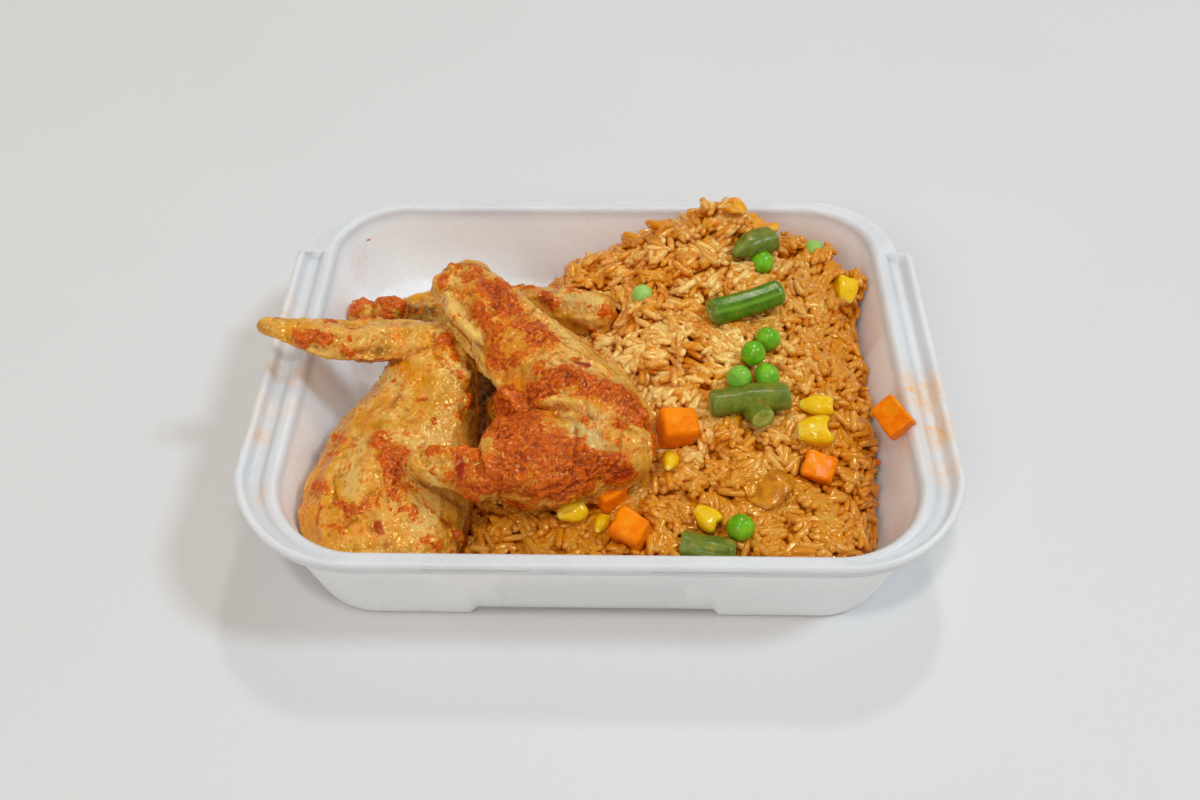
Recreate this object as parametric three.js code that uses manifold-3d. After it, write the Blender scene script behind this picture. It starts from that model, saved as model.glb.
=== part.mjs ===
// Jollof rice meal in a moulded foam takeaway box: a rice heap with vegetables and three folded chicken wings.
// Frame: millimetres, +Z up, origin under the middle of the box on the table, front of the box at -Y.
import * as THREE from "three";
import { mergeVertices } from "three/addons/utils/BufferGeometryUtils.js";
import Module from "manifold-3d";

const wasm = await Module();
wasm.setup();

// ---- driving dimensions, mm
const boxHeight = 40; // table to the top of the rim
const ridgeHalfWidth = 104; // path of the rim ridge, half across
const ridgeFront = -82.8; // the same path's front and back lines
const ridgeBack = 81.9;
const ridgeRadius = 32;
const foamFloor = 5; // top of the inside floor
const gap = 0.35; // clearance between pieces that touch
const lipEnd = 54; // the side lips stop here, short of the hinge corners
const slotSize = [31.5, 3.2, 1]; // the two locking slots under the front rim
const slotMiddles = [-35.4, 33.4];
const grainLength = 8.6; // a cooked long rice grain
const grainWidth = 2.9;
const coreStep = 7.8; // spacing of the uneven core's points
const fusedGrains = 97; // whole grains that lie on the core
const peaRadius = 4.4;

// ---- small helpers
const { clamp, lerp, smoothstep } = THREE.MathUtils;
const bell = (distance, width) => Math.exp(-((distance / width) ** 2));

// A repeatable random draw between 0 and 1.
function seeded(seed) {
  let state = seed >>> 0;
  return () => {
    state = (Math.imul(state, 1664525) + 1013904223) >>> 0;
    return state / 4294967296;
  };
}

function indexed(vertices, faces) {
  const g = new THREE.BufferGeometry();
  g.setAttribute("position", new THREE.Float32BufferAttribute(vertices.flat(), 3));
  g.setIndex(faces.flat());
  return g;
}

function welded(geometry) {
  const bare = geometry.clone();
  bare.deleteAttribute("normal");
  bare.deleteAttribute("uv");
  return mergeVertices(bare, 1e-4);
}

function toSolid(geometry) {
  const g = welded(geometry);
  const vertProperties = new Float32Array(g.attributes.position.array);
  const triVerts = new Uint32Array(g.index.array);
  const made = new wasm.Manifold(new wasm.Mesh({ numProp: 3, vertProperties, triVerts }));
  if (made.volume() > 0) return made;
  for (let i = 0; i < triVerts.length; i += 3) [triVerts[i + 1], triVerts[i + 2]] = [triVerts[i + 2], triVerts[i + 1]];
  return new wasm.Manifold(new wasm.Mesh({ numProp: 3, vertProperties, triVerts }));
}

// The largest single body of a solid, as a geometry: scraps that a cut leaves are dropped.
function toGeometry(solid) {
  const { vertProperties, triVerts } = solid.getMesh();
  const g = new THREE.BufferGeometry();
  g.setAttribute("position", new THREE.Float32BufferAttribute(vertProperties, 3));
  g.setIndex([...triVerts]);
  const whole = mergeVertices(g, 2e-3);
  const p = whole.attributes.position;
  const root = Array.from({ length: p.count }, (_, i) => i);
  const find = (i) => {
    while (root[i] !== i) i = root[i] = root[root[i]];
    return i;
  };
  const triangles = [];
  for (let i = 0; i < whole.index.count; i += 3) {
    const t = [0, 1, 2].map((k) => whole.index.getX(i + k));
    if (t[0] === t[1] || t[1] === t[2] || t[0] === t[2]) continue;
    triangles.push(t);
    root[find(t[0])] = find(t[1]);
    root[find(t[1])] = find(t[2]);
  }
  const size = new Map();
  for (const t of triangles) size.set(find(t[0]), (size.get(find(t[0])) ?? 0) + 1);
  const best = [...size.entries()].reduce((a, b) => (b[1] > a[1] ? b : a))[0];
  whole.setIndex(triangles.filter((t) => find(t[0]) === best).flat());
  return mergeVertices(whole, 1e-5);
}

// The same shape with every vertex moved out along its normal, for cutting clearance.
function swollen(geometry, by) {
  const g = welded(geometry);
  g.computeVertexNormals();
  const p = g.attributes.position;
  const n = g.attributes.normal;
  for (let i = 0; i < p.count; i++) {
    p.setXYZ(i, p.getX(i) + n.getX(i) * by, p.getY(i) + n.getY(i) * by, p.getZ(i) + n.getZ(i) * by);
  }
  return g;
}

const group = new THREE.Group();

function addPiece(name, geometry, colour, roughness) {
  const g = geometry.toNonIndexed();
  g.computeVertexNormals();
  const mesh = new THREE.Mesh(g, new THREE.MeshStandardMaterial({ color: colour, roughness, metalness: 0 }));
  mesh.name = name;
  group.add(mesh);
}

// ---- the foam box: one closed surface of rings round the rim path
// Each ring row holds [offset out of the path, height] on the lipped sides, on the hinge corners, and on the ends.
const boxRings = [
  [[-21, 2], [-20, 2], [-19, 2]], // underside
  [[-19.5, 0], [-18.5, 0], [-17.5, 0]], // foot, inner edge
  [[-9, 0], [-8, 0], [-5.5, 0]], // foot, outer edge
  [[-7.4, 1.4], [-6.4, 1.4], [-4.6, 1.4]],
  [[-2.2, 18], [-1.6, 18], [-2, 18]], // outside wall
  [[3, 33], [3.6, 33], [0.2, 33]],
  [[11.3, 35], [6.2, 35.2], [2.4, 35.2]], // under the lip
  [[12, 38.9], [6.5, 38.9], [2.7, 38.9]], // outer face of the lip
  [[11.2, 40], [5.9, 40], [2, 40]],
  [[9.2, 40], [5, 40], [1.3, 40]],
  [[8.3, 36.4], [4, 40], [0.6, 40]], // channel between the lip and the ridge
  [[3.4, 36.2], [2.8, 40], [0.1, 40]],
  [[2, 39.6], [1.6, 40], [-0.8, 40]], // ridge
  [[-1.4, 40], [-0.8, 40], [-1.8, 40]],
  [[-3, 38.6], [-2.8, 38.8], [-2.8, 38.8]], // inside wall
  [[-7.4, 20], [-7, 20], [-5.9, 20]],
  [[-11, 8.6], [-10.6, 8.6], [-8.8, 8.6]],
  [[-14.6, 5.4], [-14, 5.4], [-12.3, 5.4]],
  [[-20, foamFloor], [-19, foamFloor], [-18, foamFloor]],
];
const footRings = [1, 2, 3];
const innerWallRings = [15, 16, 17];

// Stations round the path, anticlockwise from the front of the right side.
function boxStations() {
  const sideY = [-29, -26, -5, 16, 19, lipEnd - 0.3, lipEnd + 0.3];
  const endX = [40.5, 37.5, 24, 20.5, -26, -29.5, -39.5, -42.5];
  const straightX = ridgeHalfWidth - ridgeRadius;
  const corner = (cx, cy, from, shape) =>
    Array.from({ length: 8 }, (_, i) => {
      const a = from + (i / 7) * (Math.PI / 2);
      return { x: cx, y: cy, a, ...shape(i / 7) };
    });
  const straight = (list, place) => list.map(place);
  const side = (y) => (y > lipEnd ? { lipped: 0, rear: 1 } : { lipped: 1, rear: 0 });
  const backCorner = ridgeBack - ridgeRadius;
  const frontCorner = ridgeFront + ridgeRadius;
  const toFront = (t) => ({ lipped: (1 - t) ** 1.5, rear: 0 });
  const toBack = (t) => ({ lipped: 0, rear: 1 - t });
  return [
    ...straight(sideY, (y) => ({ x: straightX, y, a: 0, ...side(y) })),
    ...corner(straightX, backCorner + 5, 0, toBack).map((s, i) => ({ ...s, y: lerp(backCorner + 5.4, backCorner, i / 7) })),
    ...straight(endX, (x) => ({ x, y: backCorner, a: Math.PI / 2, lipped: 0, rear: 0 })),
    ...corner(-straightX, backCorner, Math.PI / 2, (t) => toBack(1 - t)).map((s, i) => ({ ...s, y: lerp(backCorner, backCorner + 5.4, i / 7) })),
    ...straight([...sideY].reverse(), (y) => ({ x: -straightX, y, a: Math.PI, ...side(y) })),
    ...corner(-straightX, frontCorner, Math.PI, toFront),
    ...straight([...endX].reverse(), (x) => ({ x, y: frontCorner, a: 1.5 * Math.PI, lipped: 0, rear: 0 })),
    ...corner(straightX, frontCorner, 1.5 * Math.PI, (t) => toFront(1 - t)),
  ];
}

// Where one ring stands at one station, with the panels, feet and hinge rags that break its outline.
function ringPoint(row, ring, s, grow) {
  const { lipped, rear } = s;
  const mix = (k) => row[0][k] * lipped + row[1][k] * rear + row[2][k] * (1 - lipped - rear);
  let out = mix(0) - grow;
  let z = mix(1);
  const isEnd = Math.abs(Math.cos(s.a)) < 1e-6;
  const isSide = Math.abs(Math.sin(s.a)) < 1e-6;
  const midEnd = isEnd && s.x < 39 && s.x > -41;
  if (midEnd && footRings.includes(ring)) z = Math.max(z, 2); // the feet are at the corners only
  if (midEnd && (ring === 2 || ring === 3)) out -= 1.6;
  if (midEnd && ring === 4 && s.x < 30 && s.x > -32) out -= 1.4;
  if (isSide && innerWallRings.includes(ring) && s.y > -28 && s.y < 18) out -= 1.9; // side panels bulge inwards
  if (isEnd && s.a < 2 && innerWallRings.includes(ring) && s.x < 22 && s.x > -28) out -= 1.2;
  if (isEnd && s.a < 2 && ring >= 6 && ring <= 8) out += 0.9 * Math.abs(Math.sin(s.x * 1.7)); // torn hinge
  const reach = ridgeRadius + out;
  return [s.x + Math.cos(s.a) * reach, s.y + Math.sin(s.a) * reach, z];
}

function ringSolid(rows, grow, firstZ, lastZ, upward) {
  const stations = boxStations();
  const n = stations.length;
  const vertices = rows.flatMap(([row, ring, dz]) =>
    stations.map((s) => {
      const p = ringPoint(row, ring, s, grow);
      return [p[0], p[1], p[2] + dz];
    }),
  );
  const faces = [];
  for (let k = 0; k + 1 < rows.length; k++) {
    for (let i = 0; i < n; i++) {
      const j = (i + 1) % n;
      const a = k * n + i;
      const b = k * n + j;
      // the same diagonal on a wall whichever way its rings run
      if (upward) faces.push([a, b, a + n], [b, b + n, a + n]);
      else faces.push([a, b, b + n], [a, b + n, a + n]);
    }
  }
  const first = vertices.push([0, 0, firstZ]) - 1;
  const last = vertices.push([0, 0, lastZ]) - 1;
  for (let i = 0; i < n; i++) {
    const j = (i + 1) % n;
    faces.push([first, j, i], [last, (rows.length - 1) * n + i, (rows.length - 1) * n + j]);
  }
  return toSolid(indexed(vertices, faces));
}

let box = ringSolid(boxRings.map((row, ring) => [row, ring, 0]), 0, 2, foamFloor, false);
for (const x of slotMiddles) {
  const slot = new THREE.BoxGeometry(...slotSize).translate(x, ridgeFront - 2.4, 37.4);
  box = box.subtract(toSolid(slot));
}

// The space inside the box, open above the rim, that all the food is kept within.
const flat = (offset, z) => [[offset, z], [offset, z], [offset, z]];
const cavity = ringSolid(
  [
    [boxRings[18], 18, gap],
    [boxRings[17], 17, gap],
    [boxRings[16], 16, 0],
    [boxRings[15], 15, 0],
    [boxRings[14], 14, 0],
    [flat(-1.2, boxHeight + gap), 13, 0],
    [flat(40, boxHeight + gap), 13, 0],
    [flat(40, 120), 13, 0],
  ],
  gap,
  foamFloor + gap,
  120,
  true,
);

// ---- the heap's smooth height over the table at (x, y)
function heapHeight(x, y) {
  const crest = 31 + 26 * bell(x - 47, 23) + 7 * bell(x - 82, 13) + 12 * bell(x - 18, 15);
  const front = 30 - 9 * (1 - smoothstep(x, -42, 0)) - 5 * smoothstep(x, 78, 95);
  const t = clamp((y + 75) / 132, 0, 1);
  const leftEdge = -47 + 27 * smoothstep(y, -60, 60) - 13 * bell(y + 8, 38);
  let h = front + (crest - front) * (0.75 * t + 0.25 * t * t);
  h -= 1.15 * Math.max(0, y - 58); // falls away to the hinge wall
  h -= (13 - 7 * bell(y + 18, 24)) * smoothstep(x, 80, 100) * (1 - smoothstep(y, 30, 58));
  h -= 9 * smoothstep(x, 80, 91) * smoothstep(y, 42, 55) - 9 * bell(Math.hypot(x - 97, y - 45), 7);
  h -= 11 * smoothstep(x, 74, 92) * (1 - smoothstep(y, -52, -26)); // low front right corner
  h -= 34 * (1 - smoothstep(x, leftEdge - 8, leftEdge + 8));
  return h + 1.3 * Math.sin(x / 7.3 + 1.1) * Math.cos(y / 8.1) + 0.9 * Math.sin((x + y) / 5.2);
}

// ---- lofted lobes: stations of [x, y, z, half width, half thickness, roll], with rounded ends
function lobe(stations, sides = 12, wobble = 0.05) {
  const centres = stations.map((s) => new THREE.Vector3(s[0], s[1], s[2]));
  const vertices = [];
  const up = new THREE.Vector3(0, 0, 1);
  const ringAt = (centre, tangent, a, b, roll, phase) => {
    const across = new THREE.Vector3().crossVectors(tangent, up).normalize();
    const thick = new THREE.Vector3().crossVectors(across, tangent).normalize();
    for (let i = 0; i < sides; i++) {
      const t = (i / sides) * 2 * Math.PI;
      const r = 1 + wobble * Math.sin(3 * t + phase) + 0.6 * wobble * Math.sin(5 * t - 1.7 * phase);
      const c = Math.cos(t + roll) * a * r;
      const s = Math.sin(t + roll) * b * r;
      vertices.push([
        centre.x + across.x * c + thick.x * s,
        centre.y + across.y * c + thick.y * s,
        centre.z + across.z * c + thick.z * s,
      ]);
    }
  };
  const last = stations.length - 1;
  const tangentAt = (i) => centres[Math.min(i + 1, last)].clone().sub(centres[Math.max(i - 1, 0)]).normalize();
  const endCap = (i, sign) => {
    const [, , , a, b, roll = 0] = stations[i];
    const tangent = tangentAt(i);
    const depth = Math.min(a, b) * 0.8;
    const steps = sign < 0 ? [0.85, 0.5] : [0.5, 0.85];
    for (const f of steps) {
      const centre = centres[i].clone().addScaledVector(tangent, sign * depth * f);
      const k = Math.sqrt(1 - f * f);
      ringAt(centre, tangent, a * k, b * k, roll, i);
    }
    return centres[i].clone().addScaledVector(tangent, sign * depth).toArray();
  };
  const start = endCap(0, -1);
  stations.forEach(([, , , a, b, roll = 0], i) => ringAt(centres[i], tangentAt(i), a, b, roll, i));
  const end = endCap(last, 1);
  const rings = vertices.length / sides;
  const faces = [];
  for (let k = 0; k + 1 < rings; k++) {
    for (let i = 0; i < sides; i++) {
      const a = k * sides + i;
      const b = k * sides + ((i + 1) % sides);
      faces.push([a, b, b + sides], [a, b + sides, a + sides]);
    }
  }
  const s = vertices.push(start) - 1;
  const e = vertices.push(end) - 1;
  for (let i = 0; i < sides; i++) {
    const j = (i + 1) % sides;
    faces.push([s, j, i], [e, (rings - 1) * sides + i, (rings - 1) * sides + j]);
  }
  return indexed(vertices, faces);
}

const joined = (parts) => parts.map((g) => toSolid(g)).reduce((a, b) => a.add(b));

// ---- chicken wings, folded: the upper arm and the forearm lie side by side
const wingParts = {
  // lies in the front left corner, its tip out over the left rim
  wing_left: [
    lobe([
      [-54, 4, 43, 10, 7],
      [-56, -6, 38.5, 16, 11],
      [-60.5, -17, 32, 20.5, 14],
      [-66, -31, 26.5, 26, 16],
      [-69.5, -46, 23.5, 28.5, 17],
      [-70, -59, 22.5, 28, 16.5],
      [-69, -71, 21.5, 25, 15],
    ], 13),
    lobe([
      [-113.4, 1, 53.4, 3, 2.8],
      [-104, -0.5, 52.2, 6, 3.8],
      [-92, -2, 50, 8.6, 4.8],
      [-78, -1, 48, 9, 5.4],
      [-64, 2, 46, 8.6, 6],
      [-54, 3, 44, 7.6, 6],
    ], 8),
  ],
  // lies on top, from the heap to the back: shoulder end at its left, elbow at its right
  wing_right: [
    lobe([
      [-51, 27, 51.2, 11, 6.4],
      [-45, 18.5, 50.6, 13, 7.5],
      [-33, 4, 49, 15.5, 8.5],
      [-19, -11, 47.5, 17.5, 10],
      [-5, -26, 46, 17.5, 12],
      [6, -37, 44, 14, 12],
    ], 11),
    lobe([
      [-27, -47, 42, 14, 15],
      [-18, -48, 42, 16.5, 16],
      [-7, -46.4, 41.8, 16, 15.2],
      [4, -44, 42.2, 13.6, 13.6],
      [10, -44, 43, 10, 11],
    ], 11),
    lobe([
      [-56, -51, 44.6, 5.4, 5.2],
      [-47, -53, 44, 6.6, 6.2],
      [-34, -54, 43, 8, 8],
    ], 8),
    lobe([
      [-27, -24, 44, 9, 8],
      [-15, -36, 44, 12, 9],
    ], 6),
  ],
  // lies behind the other two along the back
  wing_back: [
    lobe([
      [-90, 40.5, 13.5, 6.5, 6],
      [-78, 41, 15, 9.5, 8],
      [-60, 40.5, 18.5, 11, 10.5],
      [-38, 37.5, 23.5, 11, 11],
      [-18, 32, 28.5, 10.5, 11],
      [-2, 26.6, 32, 9.5, 10],
    ], 9),
    lobe([
      [-93, 38.5, 21.5, 5, 4.6],
      [-90, 38.5, 22, 5.2, 4.6],
    ], 7, 0.1),
    lobe([
      [-83, 38.6, 23, 5.2, 4.8],
      [-79, 38.6, 23.4, 5.2, 4.8],
    ], 7, 0.1),
  ],
};
const wings = {};
let taken = null;
for (const name of ["wing_right", "wing_left", "wing_back"]) {
  let body = joined(wingParts[name]).intersect(cavity);
  if (taken) body = body.subtract(taken);
  wings[name] = toGeometry(body);
  const room = toSolid(swollen(wings[name], 0.45));
  taken = taken ? taken.add(room) : room;
}

// ---- vegetables, each resting in the heap
// A ball with a slight dimple and flat side.
function pea(radius) {
  const g = welded(new THREE.IcosahedronGeometry(radius, 1));
  const p = g.attributes.position;
  for (let i = 0; i < p.count; i++) {
    const x = p.getX(i) / radius;
    p.setX(i, p.getX(i) * (1 - 0.08 * Math.max(0, x)));
    p.setZ(i, p.getZ(i) * 0.94);
  }
  return g;
}

// A box with cut edges, drawn in towards one end.
function block([length, width, height], bevel, taper) {
  const shape = new THREE.Shape();
  const a = length / 2 - bevel;
  const b = width / 2 - bevel;
  shape.moveTo(-a, -b);
  shape.lineTo(a, -b * taper);
  shape.lineTo(a, b * taper);
  shape.lineTo(-a, b);
  shape.closePath();
  const depth = height - 2 * bevel;
  const g = new THREE.ExtrudeGeometry(shape, {
    depth,
    bevelEnabled: true,
    bevelThickness: bevel,
    bevelSize: bevel,
    bevelSegments: 1,
    curveSegments: 1,
  });
  return welded(g.translate(0, 0, -depth / 2));
}

// A corn kernel: a plump wedge, dented at its wide end.
function kernel([length, width, height]) {
  const sides = 8;
  const stations = [
    [-0.5, 0.42],
    [-0.34, 0.8],
    [0, 1],
    [0.32, 0.96],
    [0.5, 0.6],
  ];
  const vertices = stations.flatMap(([at, wide]) =>
    Array.from({ length: sides }, (_, i) => {
      const t = (i / sides) * 2 * Math.PI;
      const c = Math.sign(Math.cos(t)) * Math.abs(Math.cos(t)) ** 0.8;
      const s = Math.sign(Math.sin(t)) * Math.abs(Math.sin(t)) ** 0.8;
      return [at * length, (c * wide * width) / 2, (s * wide * height) / 2];
    }),
  );
  const faces = [];
  for (let k = 0; k + 1 < stations.length; k++) {
    for (let i = 0; i < sides; i++) {
      const a = k * sides + i;
      const b = k * sides + ((i + 1) % sides);
      faces.push([a, b, b + sides], [a, b + sides, a + sides]);
    }
  }
  const s = vertices.push([-0.56 * length, 0, 0]) - 1;
  const e = vertices.push([0.44 * length, 0, 0]) - 1;
  const last = (stations.length - 1) * sides;
  for (let i = 0; i < sides; i++) {
    const j = (i + 1) % sides;
    faces.push([s, j, i], [e, last + i, last + j]);
  }
  return toGeometry(toSolid(indexed(vertices, faces)));
}

// A cut length of green bean, bent a little, one end open where its seed has gone.
function bean(length, radius, bend, hollow) {
  const sides = 9;
  const steps = 3;
  const vertices = [];
  const ringAt = (x, r) => {
    for (let i = 0; i < sides; i++) {
      const t = (i / sides) * 2 * Math.PI;
      const rib = 1 + 0.05 * Math.cos(2 * t);
      const lift = bend * (1 - ((2 * x) / length) ** 2);
      vertices.push([x, Math.cos(t) * r * 1.06 * rib + lift, Math.sin(t) * r * 0.92 * rib]);
    }
  };
  ringAt(-length / 2, radius * 0.86);
  for (let k = 0; k <= steps; k++) ringAt(((k / steps) * 0.94 - 0.47) * length, radius * (1 - 0.08 * Math.abs(k / steps - 0.5)));
  ringAt(length / 2, radius * 0.86);
  if (hollow) {
    ringAt(length / 2 - 0.1, radius * 0.6);
    ringAt(length / 2 - 2.4, radius * 0.5);
  }
  const rings = vertices.length / sides;
  const faces = [];
  for (let k = 0; k + 1 < rings; k++) {
    for (let i = 0; i < sides; i++) {
      const a = k * sides + i;
      const b = k * sides + ((i + 1) % sides);
      faces.push([a, b, b + sides], [a, b + sides, a + sides]);
    }
  }
  const s = vertices.push([-length / 2, 0, 0]) - 1;
  const e = vertices.push([hollow ? length / 2 - 2.4 : length / 2, 0, 0]) - 1;
  for (let i = 0; i < sides; i++) {
    const j = (i + 1) % sides;
    faces.push([s, j, i], [e, (rings - 1) * sides + i, (rings - 1) * sides + j]);
  }
  return indexed(vertices, faces);
}

// A flat uneven scrap of cooked pepper or onion.
function scrap([length, width, height], phase) {
  const stations = [-0.42, -0.15, 0.15, 0.42].map((t, i) => [
    t * length,
    0.08 * width * Math.sin(i * 2.1 + phase),
    0.3 * height * Math.cos(i * 1.4 + phase),
    (width / 2) * (1 - 0.9 * t * t + 0.12 * Math.sin(i * 3 + phase)),
    height / 2,
  ]);
  return lobe(stations, 8, 0.09);
}

const degrees = Math.PI / 180;
// [name, shape, x, y, lift of its middle over the smooth heap, turn about Z, tilt about Y, tilt about X]
const vegetables = [
  ["pea_1", pea(peaRadius), 57.4, 37.9, 2, 20, 0, 0],
  ["pea_2", pea(peaRadius), 57.4, 4.3, 3, 120, 10, 0],
  ["pea_3", pea(peaRadius), 51.3, -5.4, 4.4, 210, 0, 20],
  ["pea_4", pea(peaRadius), 46.4, -13.2, 3.4, 300, 15, 0],
  ["pea_5", pea(peaRadius), 55.9, -11.8, 3.2, 40, 0, 10],
  ["pea_6", pea(peaRadius), 44.4, -66.6, 2.7, 90, 0, 0],
  ["pea_7", pea(peaRadius * 0.97), 14.7, 29.4, -0.8, 10, 0, 0],
  ["pea_8", pea(peaRadius * 0.95), 79, 55, -0.4, 70, 0, 0],
  ["corn_1", kernel([9.4, 9, 7]), 90, 41, 2.6, 80, -20, 25],
  ["corn_2", kernel([11.4, 7.6, 5.6]), 72.5, -20, 3.2, -6, 0, 25],
  ["corn_3", kernel([11.6, 10, 7]), 70.7, -31, 2.6, 3, 0, 20],
  ["corn_4", kernel([9.4, 5.6, 5.2]), 23.1, -42.4, 2, 78, 20, 20],
  ["corn_5", kernel([9.6, 8, 6]), -7.6, -58.4, 3.4, 30, 0, 20],
  ["corn_6", kernel([7, 5, 4.6]), 1.4, -64, 1.2, 64, 0, 0],
  ["corn_7", kernel([9.4, 7.6, 6]), 34.4, -63, 1.8, -40, 10, 20],
  ["carrot_1", block([12.4, 11.8, 10], 1, 0.92), 25.6, -31, 3.6, 12, 10, 10],
  ["carrot_2", block([12.2, 10.6, 5], 0.6, 0.96), 96.4, -25.4, 17.4, -59, -8, 38],
  ["carrot_3", block([10.4, 9.2, 7], 0.7, 0.94), 71.2, -42.8, 2.6, -22, 0, 24],
  ["carrot_4", block([11.6, 11, 10], 1, 0.9), 10.4, -67.2, 4, -28, 0, 16],
  ["carrot_5", block([9.6, 8.4, 7], 0.8, 0.9), 3.4, -54.2, 2.6, 40, 0, 0],
  ["bean_1", bean(17.6, 4.9, 1.2, false), 53.8, 41.2, 2.8, 40, 8, 0],
  ["bean_2", bean(27, 4.6, 0.8, true), 50.4, 17.2, 3.4, 200, 4, 0],
  ["bean_3", bean(27, 4.7, 1, false), 49.4, -21.2, 4.4, 8, 0, 0],
  ["bean_4", bean(9.4, 4.3, 0.2, true), 51.4, -26.4, 4, -52, 14, 0],
  ["bean_5", bean(17, 4.6, 0.8, true), 34.2, -72.6, 1.4, 168, 0, 0],
  ["pepper_1", scrap([10, 8.6, 5.2], 0.4), 47.8, 55.2, 1.2, 70, 0, 0],
  ["pepper_2", scrap([12, 8.4, 5], 1.9), 58.4, 51.6, 2, -38, 14, 0],
  ["onion_1", scrap([17, 11, 4.4], 3.1), 55, -53, 1.2, 34, 0, 0],
];
const vegetableColours = {
  pea: 0x5fb315,
  corn: 0xf2c81e,
  carrot: 0xf08016,
  bean: 0x4f7f2c,
  pepper: 0xe08a18,
  onion: 0xb9772c,
};

let clearOfHeap = taken;
for (const [name, geometry, x, y, lift, turn, tiltY, tiltX] of vegetables) {
  const place = new THREE.Matrix4().compose(
    new THREE.Vector3(x, y, heapHeight(x, y) + lift),
    new THREE.Quaternion().setFromEuler(new THREE.Euler(tiltX * degrees, tiltY * degrees, turn * degrees, "ZYX")),
    new THREE.Vector3(1, 1, 1),
  );
  const whole = toSolid(geometry.clone().applyMatrix4(place)).intersect(cavity);
  const shape = toGeometry(whole.subtract(clearOfHeap));
  const room = toSolid(swollen(shape, 0.5));
  clearOfHeap = clearOfHeap.add(room);
  addPiece(name, shape, vegetableColours[name.split("_")[0]], 0.42);
}

// ---- the rice: an uneven core under a triangulated skin, with whole grains fused on
function delaunay(points) {
  const far = 4000;
  const all = [...points, [-far, -far], [far, -far], [0, far]];
  const n = points.length;
  const made = (a, b, c) => {
    const [ax, ay] = all[a];
    const [bx, by] = all[b];
    const [cx, cy] = all[c];
    const d = 2 * (ax * (by - cy) + bx * (cy - ay) + cx * (ay - by));
    const aa = ax * ax + ay * ay;
    const bb = bx * bx + by * by;
    const cc = cx * cx + cy * cy;
    const x = (aa * (by - cy) + bb * (cy - ay) + cc * (ay - by)) / d;
    const y = (aa * (cx - bx) + bb * (ax - cx) + cc * (bx - ax)) / d;
    return { v: [a, b, c], x, y, rr: (ax - x) ** 2 + (ay - y) ** 2 };
  };
  let triangles = [made(n, n + 1, n + 2)];
  for (let i = 0; i < n; i++) {
    const [px, py] = all[i];
    const keep = [];
    const edges = new Map();
    for (const t of triangles) {
      if ((px - t.x) ** 2 + (py - t.y) ** 2 >= t.rr) {
        keep.push(t);
        continue;
      }
      for (let k = 0; k < 3; k++) {
        const a = t.v[k];
        const b = t.v[(k + 1) % 3];
        const back = `${b},${a}`;
        if (edges.has(back)) edges.delete(back);
        else edges.set(`${a},${b}`, [a, b]);
      }
    }
    for (const [a, b] of edges.values()) keep.push(made(a, b, i));
    triangles = keep;
  }
  return triangles.map((t) => t.v).filter((v) => v.every((i) => i < n));
}

const heapArea = { x0: -64, x1: 108, y0: -90, y1: 88 };
// Where a wing covers the heap no grains are needed.
const underWing = (x, y) => {
  const forearm = bell(x + 22 + 0.9 * (y + 8), 22) > 0.5 && x < 6 && y < 34;
  const upperArm = x < 10 && y > -58 && y < -22;
  return forearm || upperArm || x < -34;
};

// Uneven points over the heap: close where it shows, wide apart where it is covered.
function riceSurface() {
  const draw = seeded(29);
  const points = [];
  const heights = [];
  const push = (x, y, lift) => {
    points.push([x, y]);
    heights.push(heapHeight(x, y) + lift);
  };
  const { x0, x1, y0, y1 } = heapArea;
  const rimSteps = 14;
  for (let i = 0; i < rimSteps; i++) {
    const t = i / rimSteps;
    const bow = 2 * Math.sin(Math.PI * t); // a slight bow keeps the outline convex
    push(lerp(x0, x1, t), y0 - bow, 0);
    push(x1 + bow, lerp(y0, y1, t), 0);
    push(lerp(x1, x0, t), y1 + bow, 0);
    push(x0 - bow, lerp(y1, y0, t), 0);
  }
  const tryPoint = (x, y, apart, lift) => {
    if (x < x0 + 3 || x > x1 - 3 || y < y0 + 3 || y > y1 - 3) return;
    if (points.every((p) => Math.hypot(p[0] - x, p[1] - y) > apart)) push(x, y, lift);
  };
  for (let tries = 0; tries < 9000; tries++) {
    const x = lerp(x0, x1, draw());
    const y = lerp(y0, y1, draw());
    const shows = heapHeight(x, y) > foamFloor && !underWing(x, y);
    tryPoint(x, y, shows ? coreStep * 0.82 : 11, shows ? (draw() - 0.6) * 1.6 : -0.6);
  }
  return { points, heights, faces: delaunay(points) };
}

function riceCore() {
  const { points, heights, faces } = riceSurface();
  const n = points.length;
  const vertices = points.map(([x, y], i) => [x, y, Math.max(heights[i], -6)]);
  points.forEach(([x, y]) => vertices.push([x, y, -12]));
  const all = [];
  const edges = new Map();
  for (const f of faces) {
    const [a, b, c] = f;
    const turned = (points[b][0] - points[a][0]) * (points[c][1] - points[a][1]) - (points[c][0] - points[a][0]) * (points[b][1] - points[a][1]) < 0;
    const t = turned ? [a, c, b] : f;
    all.push(t, [t[0] + n, t[2] + n, t[1] + n]);
    for (let k = 0; k < 3; k++) edges.set(`${t[k]},${t[(k + 1) % 3]}`, [t[k], t[(k + 1) % 3]]);
  }
  for (const [a, b] of edges.values()) {
    if (!edges.has(`${b},${a}`)) all.push([a, a + n, b + n], [a, b + n, b]);
  }
  return toSolid(indexed(vertices, all));
}

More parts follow.
